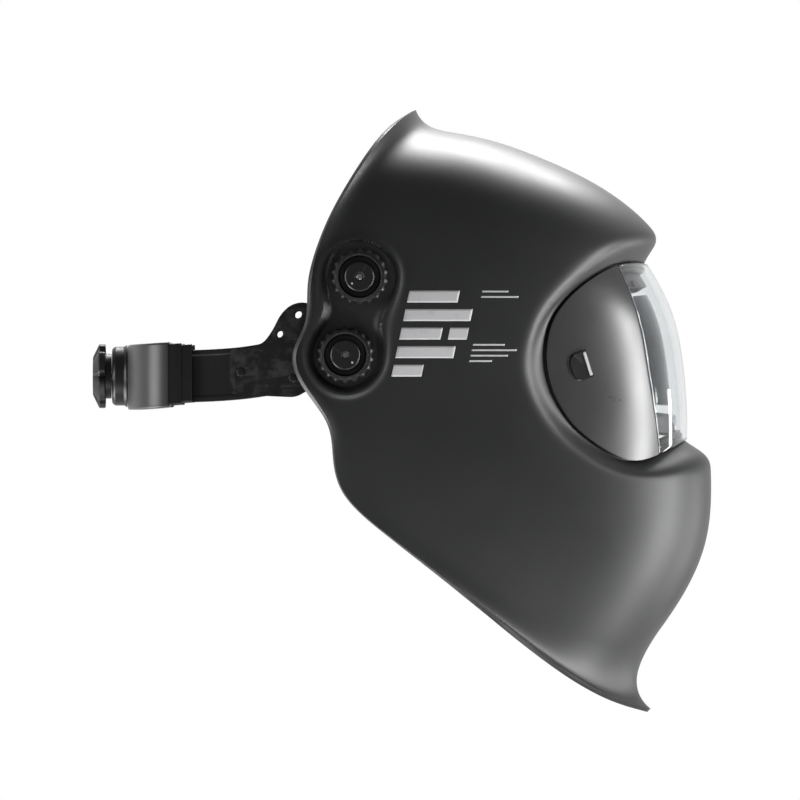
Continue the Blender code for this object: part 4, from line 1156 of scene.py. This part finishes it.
def filter_cassette():
    """The filter's parts, each at its own depth below the visor's dome."""
    frame_ring("filter_housing", FILTER_OPENING, FILTER_OUTSIDE, *HOUSING_DEPTH)
    patch("filter_glass", (-16.4, 16.4), (-5.8, 7.4), *GLASS_DEPTH, "glass", "filter")
    frame_ring("filter_back_frame", FILTER_OPENING, FILTER_BACK, *BACK_DEPTH)
    patch("inner_cover_lens", (-20.0, 20.0), (-8.2, 9.0), *INNER_LENS_DEPTH, "clear", "clear_lens")
    patch("solar_cell", (-9.0, 9.0), (-8.0, -6.9), *SENSOR_DEPTH, "cell", "filter")
    for side, rolls in (("right", (11.5, 14.5)), ("left", (-14.5, -11.5))):
        name = f"light_sensor_{side}"
        patch(name, rolls, (8.5, 9.3), *SENSOR_DEPTH, "sensor", "filter", 14, 8)


# ---------------------------------------------------------------- knobs and pivots


def fluted_knob(name, node, body, centre, sign, bored):
    """A knob with a fluted skirt, a deep groove, a centre boss, and a paler ring round the groove
    as a painted highlight.
    """
    base = POD_FLOOR + KNOB_LIFT
    bore = SHAFT_RADIUS + 0.3 if bored else SHAFT_RADIUS
    rows = [(bore, base, 0.0), (KNOB_RADIUS - 0.5, base, 1.0), (KNOB_RADIUS, base + 0.6, 1.0)]
    rows += [(r, KNOB_TOP - below, flutes) for r, below, flutes in KNOB_TOP_ROWS]
    rows += [(bore + 0.5, KNOB_TOP, 0.0), (bore, KNOB_TOP - 0.5, 0.0)]
    rows = [(r, sign * y, w) for r, y, w in tightened(rows, 0.12)]
    mesh = turned_mesh(name, rows, "y", centre, 288, KNOB_FLUTES, KNOB_FLUTE_DEPTH)
    object_of(name, mesh, "knob", body, [node], "knob", 30.0)
    # A paler grey ring round the groove, as a painted highlight on its edge.
    radius, below, wide, high = KNOB_HIGHLIGHT_RING
    turns = np.linspace(0, 2 * math.pi, 9)[:-1]
    middle = KNOB_TOP - below
    ring = [(radius + wide * math.cos(a), middle + high * math.sin(a)) for a in turns]
    mesh = turned_side(name + "_ring", ring, sign, centre, 144)
    object_of(name + "_ring", mesh, "dim", body, slot="knob")


def boss_mark(name, body, centre, sign, angle):
    """A pointer line and a dot on top of a knob's boss."""
    turn = math.radians(angle)
    ahead = np.array([math.cos(turn), math.sin(turn)])
    side = np.array([-ahead[1], ahead[0]])
    middle = np.array(centre)
    corners = [(3.0, -0.22), (6.8, -0.22), (6.8, 0.22), (3.0, 0.22)]
    corners = [middle + ahead * a + side * b for a, b in corners]
    foot = KNOB_TOP - 0.3
    mesh = outline_mesh(name, corners, "y", *outwards(sign, foot, KNOB_TOP + 0.12))
    object_of(name + "_line", mesh, "dim", body, slot="knob")
    dot = middle - ahead * 5.2 + side * 1.6
    profile = [(0.0, foot), (0.5, foot), (0.5, KNOB_TOP + 0.08), (0.0, KNOB_TOP + 0.15)]
    mesh = turned_side(name, profile, sign, dot, 24)
    object_of(name + "_dot", mesh, "bright", body, slot="knob")


def knobs():
    """The pivot knobs below, the dials above with their shafts."""
    for side, sign in SIDES:
        nut = f"pivot_nut_{side}"
        fluted_knob(f"pivot_grip_{side}", f"pivot_knob_{side}", nut, PIVOT, sign, False)
        boss_mark(f"pivot_mark_{side}", nut, PIVOT, sign, 150)
        node, body = DIALS[side]
        fluted_knob(node + "_grip", node, body, DIAL, sign, True)
        boss_mark(node + "_mark", body, DIAL, sign, 60)
        profile = [(0, 94.0), (SHAFT_RADIUS, 94.0), (SHAFT_RADIUS, 114.6), (0, 114.9)]
        shaft = node.replace("knob", "shaft")
        mesh = turned_side(shaft, rounded_path(profile, 0.4), sign, DIAL)
        object_of(shaft + "_pin", mesh, "steel", body, [shaft], "steel")


def turned_pieces():
    """Fine turned parts at the pivots: name, node, body, look, slot, centre, corner, profile."""
    inside = POD_FLOOR - SHELL_THICKNESS - 0.3
    for side, sign in SIDES:
        gauge = "shade" if side == "right" else "delay"
        parts = [
            ("bush", f"pivot_bush_{side}", "shell", "black", "black_plastic", PIVOT, 0.8,
             [(3.4, 93.6), (11.0, 93.6), (11.0, inside), (3.4, inside)]),
            ("washer", f"friction_washer_{side}", "pivot_carriage", "rubber", "rubber", PIVOT, 0.4,
             [(3.4, WASHER[0]), (12.0, WASHER[0]), (12.0, WASHER[1]), (3.4, WASHER[1])]),
            ("bolt", f"pivot_bolt_{side}", "pivot_carriage", "steel", "steel", PIVOT, 0.5,
             [(0.0, 79.4), (7.0, 79.4), (7.0, 81.1), (BOLT_RADIUS, 81.1),
              (BOLT_RADIUS, 111.2), (0.0, 111.2)]),
            ("can", f"{gauge}_potentiometer", "shell", "zinc", "steel", DIAL, 0.6,
             [(0.0, 88.0), (8.5, 88.0), (8.5, inside), (2.1, inside),
              (2.1, 93.5), (0.0, 93.5)]),
        ]
        for short, node, body, look, slot, centre, corner, profile in parts:
            path = rounded_path(profile, corner, closed=profile[0][0] > 0)
            mesh = turned_side(node, path, sign, centre)
            object_of(f"{node}_{short}", mesh, look, body, [node], slot)
        pins = [(f"plate_rivet_{side}_1", RIVETS[0], 72.5, 84.5)]
        pins.append((f"plate_rivet_{side}_2", RIVETS[1], 72.5, 84.5))
        pins.append((f"crown_strap_rear_peg_{side}", CROWN_PEGS[0], 69.6, 79.6))
        pins.append((f"crown_strap_front_peg_{side}", CROWN_PEGS[1], 61.6, 79.6))
        for node, centre, start, end in pins:
            profile = [(0, start), (PEG_RADIUS, start + 0.3), (PEG_RADIUS, end - 0.3), (0, end)]
            mesh = turned_side(node, rounded_path(profile, 0.5), sign, centre, 40)
            object_of(node + "_pin", mesh, "black", "harness", [node], "black_plastic")
        carriage(side, sign)


def carriage(side, sign):
    """The block that slides in a side plate's slot and carries the pivot bolt."""
    across = outwards(sign, CARRIAGE_IN, CARRIAGE_OUT)
    mesh = outline_mesh("block", rounded_box(16, 11, 4), "y", *across)
    name, node = f"carriage_block_{side}", f"slide_carriage_{side}"
    block = object_of(name, mesh, "black", "pivot_carriage", [node], "black_plastic")
    carve(block, drill("y", *outwards(sign, 80, 95), BOLT_RADIUS + 0.3, PIVOT))
    bevel(block, 0.8, 3)


def electronics():
    """The battery tray on the right, the timing board on the left."""
    tray = outline_mesh("tray", rounded_box(13.5, 11.5, 3, BATTERY), "y", -96.5, -88.0)
    tray = object_of("battery_holder", tray, "black", "shell", ["battery_tray"], "black_plastic")
    carve(tray, drill("y", -94.5, -86, 10.3, BATTERY, 96))
    bevel(tray, 0.6, 3)
    profile = [(0, -94.2), (10.0, -94.2), (10.0, -91.4), (9.0, -91.0), (0, -91.0)]
    mesh = turned_mesh("cell", rounded_path(profile, 0.3), "y", BATTERY, 96)
    object_of("cell_can", mesh, "zinc", "shell", ["coin_cell"], "steel")
    board = outline_mesh("board", rounded_box(12.0, 9.0, 1.5, BOARD), "y", 93.0, 94.6)
    object_of("timing_board", board, "board", "shell", ["circuit_board"], "board")
    for k, (x, z, half_x, half_z, look) in enumerate(CHIPS):
        centre = (BOARD[0] + x, BOARD[1] + z)
        chip = outline_mesh("chip", rounded_box(half_x, half_z, 0.3, centre, 3), "y", 91.6, 92.95)
        chip = object_of(f"board_chip_{k + 1}", chip, look, "shell", slot="board")
        bevel(chip, 0.15)


# ---------------------------------------------------------------- the head harness


def band_height(x):
    return float(spline(*np.array(BAND_RISE).T, [x])[0])


def band_path(count=90, tail=26):
    """Middle of the band's thickness on one side, from the forehead to the strap's end."""
    reach = BAND_FRONT - BAND_MIDDLE
    path = []
    for a in np.radians(np.linspace(0, 90, count)):
        path.append((BAND_MIDDLE + reach * math.cos(a), BAND_SIDE_MIDDLE * math.sin(a)))
    for x in np.linspace(-22.0, STRAP_END, tail):
        path.append((x, BAND_SIDE_MIDDLE - STRAP_SLOPE * max(-25.0 - x, 0.0)))
    return path


def normals(path):
    """Unit normals along a path, to the right of its run."""
    p = np.array(path, float)
    run = np.gradient(p, axis=0)
    out = np.stack([run[:, 1], -run[:, 0]], axis=-1)
    return out / np.linalg.norm(out, axis=1, keepdims=True)


def along(path):
    """Distance along a path at each of its points."""
    p = np.array(path, float)
    return np.concatenate([[0], np.cumsum(np.linalg.norm(np.diff(p, axis=0), axis=1))])


def band_sections(path, section_at, sign):
    """Sections along a path; section_at gives (offset outwards, height) points at a distance."""
    sections = []
    for (x, y), (nx, ny), s in zip(path, normals(path), along(path)):
        z = band_height(x)
        sections.append([(x + nx * o, sign * (y + ny * o), z + h) for o, h in section_at(s)])
    return sections


def both_sides(sections_of):
    """Sections from one side's end, over the centre plane, to the other side's end."""
    right, left = sections_of(-1), sections_of(1)
    return right[::-1] + left[1:]


def strap_section(s):
    """A strap with a raised border along both edges of its outer face."""
    half = BAND_HEIGHT / 2
    outline = [(-1.0, -half), (1.0, -half), (1.0, -half + 2.6), (0.45, -half + 3.3)]
    outline += [(0.45, half - 3.3), (1.0, half - 2.6), (1.0, half), (-1.0, half)]
    return rounded_path(outline, 0.45, 3, closed=True)


def pad_section(low, high, inner, outer, swell):
    """A crowned section: flat against what it rests on, full on the other side."""
    points = []
    for angle in np.radians(np.linspace(0, 360, 40, endpoint=False)):
        c, s = math.cos(angle), math.sin(angle)
        across = math.copysign(abs(c) ** 0.75, c)
        up = math.copysign(abs(s) ** 0.55, s)
        full = swell if c < 0 else 1.0
        offset = (inner + outer) / 2 + (outer - inner) / 2 * across * full
        points.append((offset, (low + high) / 2 + (high - low) / 2 * up))
    return points


def sweatband():
    """The forehead pad: foam under cloth, drawn in by sewn channels, with a stitched hem."""
    half = BAND_HEIGHT / 2
    path = [p for p in band_path(240) if p[0] > 42]
    pitch = 17.0

    def section(s):
        channel = 1 - 0.42 * math.exp(-(((s / pitch + 0.5) % 1.0 - 0.5) * pitch / 1.6) ** 2)
        end = smooth_step((along(path)[-1] - s) / 5.0)
        swell = channel * (0.25 + 0.75 * end)
        reach = 0.86 + 0.14 * end
        return pad_section((1 - half) * reach, (half - 1) * reach, -6.3, -1.4, swell)

    pad = both_sides(lambda sign: band_sections(path, section, sign))
    mesh = loft_mesh("forehead_pad", pad)
    obj = object_of("forehead_pad", mesh, "cloth", "harness", ["sweatband"], "pad", 60.0)
    stitches("forehead_pad_stitches", "harness", path, band_height, -4.9, half - 2.8, 3.2)


def stitches(name, body, path, height_at, offset, rise, pitch):
    """Two rows of short stitches along a path, above and below its middle, on both sides."""
    s = along(path)
    out = normals(path)
    p = np.array(path, float)
    vertices, faces = [], []
    for start in np.arange(2.0, s[-1] - 3.0, pitch):
        ends = []
        for at in (start, start + pitch * 0.62):
            x, y = (np.interp(at, s, p[:, k]) for k in range(2))
            nx, ny = (np.interp(at, s, out[:, k]) for k in range(2))
            ends.append((x, y, nx, ny))
        for sign in (-1, 1):
            for up in (rise, -rise):
                add_stitch(vertices, faces, ends, sign, up, offset, height_at)
    mesh = new_mesh(name, vertices, faces)
    object_of(name, mesh, "thread", body, slot="pad")


def add_stitch(vertices, faces, ends, sign, up, offset, height_at):
    """One stitch: a short six-sided thread with narrowed ends."""
    first = len(vertices)
    a, b = (np.array(e) for e in ends)
    rings = ((0.0, 0.08), (0.25, 0.3), (0.75, 0.3), (1.0, 0.08))
    for t, radius in rings:
        x, y, nx, ny = a + (b - a) * t
        sink = offset - 0.25 * math.sin(math.pi * t)
        for k in range(6):
            turn = math.pi * k / 3
            o = sink + radius * math.cos(turn)
            z = height_at(x) + up + radius * math.sin(turn)
            vertices.append((x + nx * o, sign * (y + ny * o), z))
    for i in range(3):
        ring = first + i * 6
        for k in range(6):
            n = (k + 1) % 6
            faces.append((ring + k, ring + n, ring + 6 + n, ring + 6 + k))
    faces.append(tuple(first + k for k in range(5, -1, -1)))
    faces.append(tuple(first + 18 + k for k in range(6)))


def harness_band():
    """The stiff band round the head, drilled for the rivets, the pegs and three spare places."""
    sections = both_sides(lambda sign: band_sections(band_path(), strap_section, sign))
    mesh = loft_mesh("band", sections)
    band = object_of("head_band", mesh, "black", "harness", ["harness_band"], "black_plastic")
    drills = []
    for x, z in RIVETS + CROWN_PEGS + [(x, band_height(x)) for x in (33.0, 41.0, 49.0)]:
        for sign in (-1, 1):
            drills.append(drill("y", *outwards(sign, 50, 90), PEG_RADIUS + 0.4, (x, z), 32))
    carve(band, *drills)
    sweatband()


def side_plates():
    """The plates that carry the pivots, with rounded corners and a stepped border."""
    outline = rounded_path(PLATE_OUTLINE, 4.0, 6, closed=True)
    centre = np.mean(np.array(outline), axis=0)
    raised = [tuple(centre + (np.array(p) - centre) * 0.93) for p in outline]
    for side, sign in SIDES:
        mesh = outline_mesh("plate", outline, "y", *outwards(sign, PLATE_IN, PLATE_OUT - 0.5))
        name, node = f"pivot_plate_{side}", f"side_plate_{side}"
        plate = object_of(name, mesh, "black", "harness", [node], "black_plastic")
        step = outline_mesh("step", raised, "y", *outwards(sign, PLATE_IN + 0.6, PLATE_OUT))
        carve(plate, step, operation="UNION")
        through = outwards(sign, 76, 90)
        drills = [outline_mesh("slot", rounded_box(SLOT_HALF, 3.5, 3.4), "y", *through)]
        for x, z, r in PLATE_HOLES + [(*place, PEG_RADIUS + 0.06) for place in RIVETS]:
            drills.append(drill("y", *through, r, (x, z)))
        carve(plate, *drills)
        bevel(plate, 0.3, 3, 40.0)


def crown_strap(name, half, top, base):
    """A strap over the head, with a row of adjustment holes on each side."""
    wide = STRAP_HALF_WIDTH
    outline = [(wide, 0.0), (-wide, 0.0), (-wide, 1.6), (2 - wide, 1.6)]
    outline += [(2.4 - wide, 1.1), (wide - 2.4, 1.1), (wide - 2, 1.6), (wide, 1.6)]
    outline = rounded_path(outline, 0.3, 2, closed=True)
    sections = []
    for angle in np.radians(np.linspace(-8, 188, 120)):
        c, s = math.cos(angle), math.sin(angle)
        rise = abs(s) ** 0.9 * (1 if s > 0 else -1)
        x = base[0] + (top[0] - base[0]) * max(rise, 0)
        middle = np.array([x, half * c, base[1] + (top[1] - base[1]) * rise])
        out = np.array([0, c / half, s / (top[1] - base[1])])
        out /= np.linalg.norm(out)
        sections.append([middle + np.array([a, 0, 0]) + out * o for a, o in outline])
    mesh = loft_mesh(name, sections)
    strap = object_of(name + "_form", mesh, "black", "harness", [name], "black_plastic")
    drills = []
    for sign in (-1, 1):
        for k in range(5):
            angle = math.radians(2 + 9 * k)
            rise = math.sin(angle) ** 0.9
            x = base[0] + (top[0] - base[0]) * rise
            z = base[1] + (top[1] - base[1]) * rise
            out = half * math.cos(angle)
            through = outwards(sign, out - STRAP_DRILL_REACH, out + STRAP_DRILL_REACH)
            drills.append(drill("y", *through, 2.5, (x, z), 32))
    carve(strap, *drills)


def crown_straps():
    crown_strap("crown_strap_rear", 72.0, (25.0, 102.0), CROWN_PEGS[0])
    crown_strap("crown_strap_front", 64.0, (50.0, 99.0), CROWN_PEGS[1])


# ---------------------------------------------------------------- the ratchet


def nape_path():
    """From the middle of the back round to a straight end at the side, as (x, y)."""
    path = []
    for angle in np.radians(np.linspace(90, 0, 80)):
        s, c = math.sin(angle) ** (2 / 3), math.cos(angle) ** (2 / 3)
        path.append((NAPE_BACK + NAPE_REACH - NAPE_REACH * s, NAPE_HALF * c))
    for x in (-95.1, -94.9, -92.0, -88.0, -87.8, -85.0, -83.0, NAPE_MOUTH):
        if x > path[-1][0] + 0.05:
            path.append((x, NAPE_HALF))
    return path


def nape_sections(path, section_at, sign):
    """Sections along the nape's path, rising a little towards the sides."""
    sections = []
    for (x, y), (nx, ny) in zip(path, normals(path)):
        tilt = 0.06 * (x + 106.0)
        sections.append([(x - nx * o, sign * (y - ny * o), z + tilt) for o, z in section_at(x)])
    return sections


def nape_parts():
    """The cover with its stepped mouth, the wall that closes it, the cushion and the housing."""
    path = nape_path()

    def channel(x):
        step = 0.0 if x < -95.0 else (0.9 if x < -87.9 else 1.8)
        half = NAPE_HEIGHT / 2 - step
        skin = -step * 0.35
        low, high = NAPE_Z - half, NAPE_Z + half
        outline = [(-8.5, low), (skin, low), (skin, high), (-8.5, high)]
        outline += [(-8.5, high - 1.2), (-1.7, high - 1.2), (-1.7, low + 1.2), (-8.5, low + 1.2)]
        return rounded_path(outline, 1.6, 5, closed=True)

    mesh = loft_mesh("cover", both_sides(lambda sign: nape_sections(path, channel, sign)))
    cover = object_of("nape_shell", mesh, "nape", "nape", ["nape_cover"], "nape_cover")
    carve(cover, drill("x", -125, -114, 2.9, (0.0, NAPE_Z)))
    # The cover's grey band is partly its own colour and partly a painted highlight; the faces of
    # the stepped mouth, in front of x = -95, take black as painted shade.
    cover.data.materials.append(LOOKS["black"])
    for face in cover.data.polygons:
        face.material_index = int(face.center.x > MM * -95.0)

    def wall(x):
        half = NAPE_HEIGHT / 2 - 2.6
        low, high = NAPE_Z - half, NAPE_Z + half
        return [(-7.0, low), (-7.0, high), (-8.2, high), (-8.2, low)]

    mesh = loft_mesh("wall", both_sides(lambda sign: nape_sections(path, wall, sign)))
    object_of("nape_wall", mesh, "black", "nape", ["nape_back_plate"], "black_plastic")
    nape_cushion([p for p in path if p[1] < 62])
    nape_housing()


def nape_cushion(path):
    """The pad behind the head: a crowned cushion with two sewn channels on each side."""
    length = along(path)[-1]

    def section_for(s):
        channel = 1 - 0.5 * sum(math.exp(-((s - seam) / 1.8) ** 2) for seam in (22.0, 46.0))
        end = smooth_step((length - s) / 8.0)
        swell = channel * (0.2 + 0.8 * end)
        half = (NAPE_HEIGHT / 2 - 3.5) * (0.8 + 0.2 * end)
        return pad_section(NAPE_Z - half, NAPE_Z + half, -13.9, -9.2, swell)

    def sections_of(sign):
        sections = []
        for (x, y), (nx, ny), s in zip(path, normals(path), along(path)):
            sections.append([(x - nx * o, sign * (y - ny * o), z) for o, z in section_for(s)])
        return sections

    mesh = loft_mesh("pad", both_sides(sections_of))
    pad = object_of("nape_cushion", mesh, "knit", "nape", ["nape_pad"], "pad", 60.0)


def nape_housing():
    """The round housing behind the nape, the knob on it, its screw and its spindle."""
    shaft = (0.0, NAPE_Z)
    profile = [(2.9, -126.2), (14.6, -126.2), (15.9, -124.6)]
    profile += [(15.9, -119.6), (17.0, -118.0), (2.9, -118.0)]
    path = rounded_path(profile, 0.7, 4, closed=True)
    mesh = turned_mesh("housing", path, "x", shaft, 120)
    object_of("ratchet_case", mesh, "black", "nape", ["ratchet_housing"], "black_plastic")
    mesh = turned_mesh("ratchet_grip", tightened(RATCHET_ROWS, 0.1), "x", shaft, 360, 6, 3.6, 9.0)
    object_of("ratchet_grip", mesh, "knob", "ratchet", ["ratchet_knob"], "knob", 30.0)
    profile = [(0.0, -134.3), (2.2, -134.3), (2.2, -135.3)]
    profile += [(4.4, -135.3), (4.4, -136.3), (0.0, -136.3)]
    mesh = turned_mesh("screw", rounded_path(profile, 0.35), "x", shaft, 64)
    screw = object_of("screw_head", mesh, "steel", "ratchet", ["knob_screw"], "steel")
    arms = []
    for half_y, half_z in ((2.6, 0.45), (0.45, 2.6)):
        arm = rounded_box(half_y, half_z, 0.2, shaft, 3)
        arms.append(outline_mesh("arm", arm, "x", -137.0, -135.3))
    carve(screw, *arms)
    profile = rounded_path([(0.0, -134.0), (2.4, -134.0), (2.4, -114.9), (0.0, -114.9)], 0.3)
    mesh = turned_mesh("rod", profile, "x", shaft)
    object_of("spindle_rod", mesh, "steel", "ratchet", ["ratchet_spindle"], "steel")


def keep_frame_nodes():
    """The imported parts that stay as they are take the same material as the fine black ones."""
    for name in ("ratchet_pinion", "band_rack_right", "band_rack_left"):
        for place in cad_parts[name].material_slots:
            place.material = LOOKS["black"]


# ---------------------------------------------------------------- studio


def studio():
    """A backdrop that is white to the camera and brighter on the far side, and the soft boxes."""
    scene = bpy.context.scene
    scene.view_settings.view_transform = "Standard"
    world = bpy.data.worlds.new("studio")
    scene.world = world
    world.use_nodes = True
    nodes, links = world.node_tree.nodes, world.node_tree.links
    parts = nodes.new("ShaderNodeSeparateXYZ")
    links.new(nodes.new("ShaderNodeTexCoord").outputs["Generated"], parts.inputs[0])
    ramp = nodes.new("ShaderNodeMapRange")
    ramp.interpolation_type = "SMOOTHSTEP"
    links.new(parts.outputs["Y"], ramp.inputs["Value"])
    for key, number in WORLD_RAMP:
        ramp.inputs[key].default_value = number
    ray = nodes.new("ShaderNodeLightPath")
    seen, strength = nodes.new("ShaderNodeMath"), nodes.new("ShaderNodeMath")
    seen.operation = strength.operation = "MAXIMUM"
    links.new(ray.outputs["Is Camera Ray"], seen.inputs[0])
    links.new(ray.outputs["Is Transmission Ray"], seen.inputs[1])
    links.new(ramp.outputs["Result"], strength.inputs[0])
    links.new(seen.outputs[0], strength.inputs[1])
    links.new(strength.outputs[0], nodes["Background"].inputs["Strength"])
    nodes["Background"].inputs["Color"].default_value = (1.0, 1.0, 1.0, 1.0)
    for box in SOFT_BOXES:
        soft_box(*box)
    floor_and_camera(scene)


def soft_box(name, place, target, size, power):
    light = bpy.data.lights.new(name, "AREA")
    light.shape = "RECTANGLE"
    light.size, light.size_y = size
    light.energy = power
    lamp = bpy.data.objects.new(name, light)
    bpy.context.scene.collection.objects.link(lamp)
    lamp.visible_camera = False
    lamp.location = place
    lamp.rotation_mode = "QUATERNION"
    lamp.rotation_quaternion = (Vector(target) - Vector(place)).to_track_quat("-Z", "Y")


def floor_and_camera(scene):
    """A pale floor well below, and a level camera far off on the right."""
    floor = bpy.data.meshes.new("floor")
    ring = []
    for a in np.linspace(0, 2 * math.pi, 96, endpoint=False):
        ring.append((FLOOR_RADIUS * math.cos(a), FLOOR_RADIUS * math.sin(a), FLOOR_HEIGHT))
    floor.from_pydata(ring, [], [tuple(range(len(ring)))])
    shader = Shader("floor_pale")
    shader.set(base_color=shader.blend(shader.noise(3.0), (0.78, 0.78, 0.78), (0.84, 0.84, 0.84)))
    shader.gloss(8.0, 0.6, 0.8)
    floor.materials.append(shader.material)
    ground = bpy.data.objects.new("floor", floor)
    scene.collection.objects.link(ground)
    ground.visible_shadow = False
    ground.visible_glossy = False
    camera = bpy.data.cameras.new("camera")
    camera.sensor_width = CAMERA_SENSOR
    camera.lens = CAMERA_SENSOR * -CAMERA_PLACE[1] / VIEW_WIDTH
    view = bpy.data.objects.new("camera", camera)
    scene.collection.objects.link(view)
    view.location = CAMERA_PLACE
    view.rotation_euler = (math.radians(90), 0.0, 0.0)
    scene.camera = view


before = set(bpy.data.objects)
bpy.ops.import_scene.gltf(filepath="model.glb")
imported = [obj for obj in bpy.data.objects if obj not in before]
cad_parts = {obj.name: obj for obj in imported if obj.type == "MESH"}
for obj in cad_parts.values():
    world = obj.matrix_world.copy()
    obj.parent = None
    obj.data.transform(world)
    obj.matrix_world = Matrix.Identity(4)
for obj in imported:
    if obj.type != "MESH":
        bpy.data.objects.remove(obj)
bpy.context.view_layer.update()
LOOKS = make_materials()
helmet_shell()
side_print()
visor()
filter_cassette()
knobs()
turned_pieces()
electronics()
harness_band()
side_plates()
crown_straps()
nape_parts()
keep_frame_nodes()
studio()
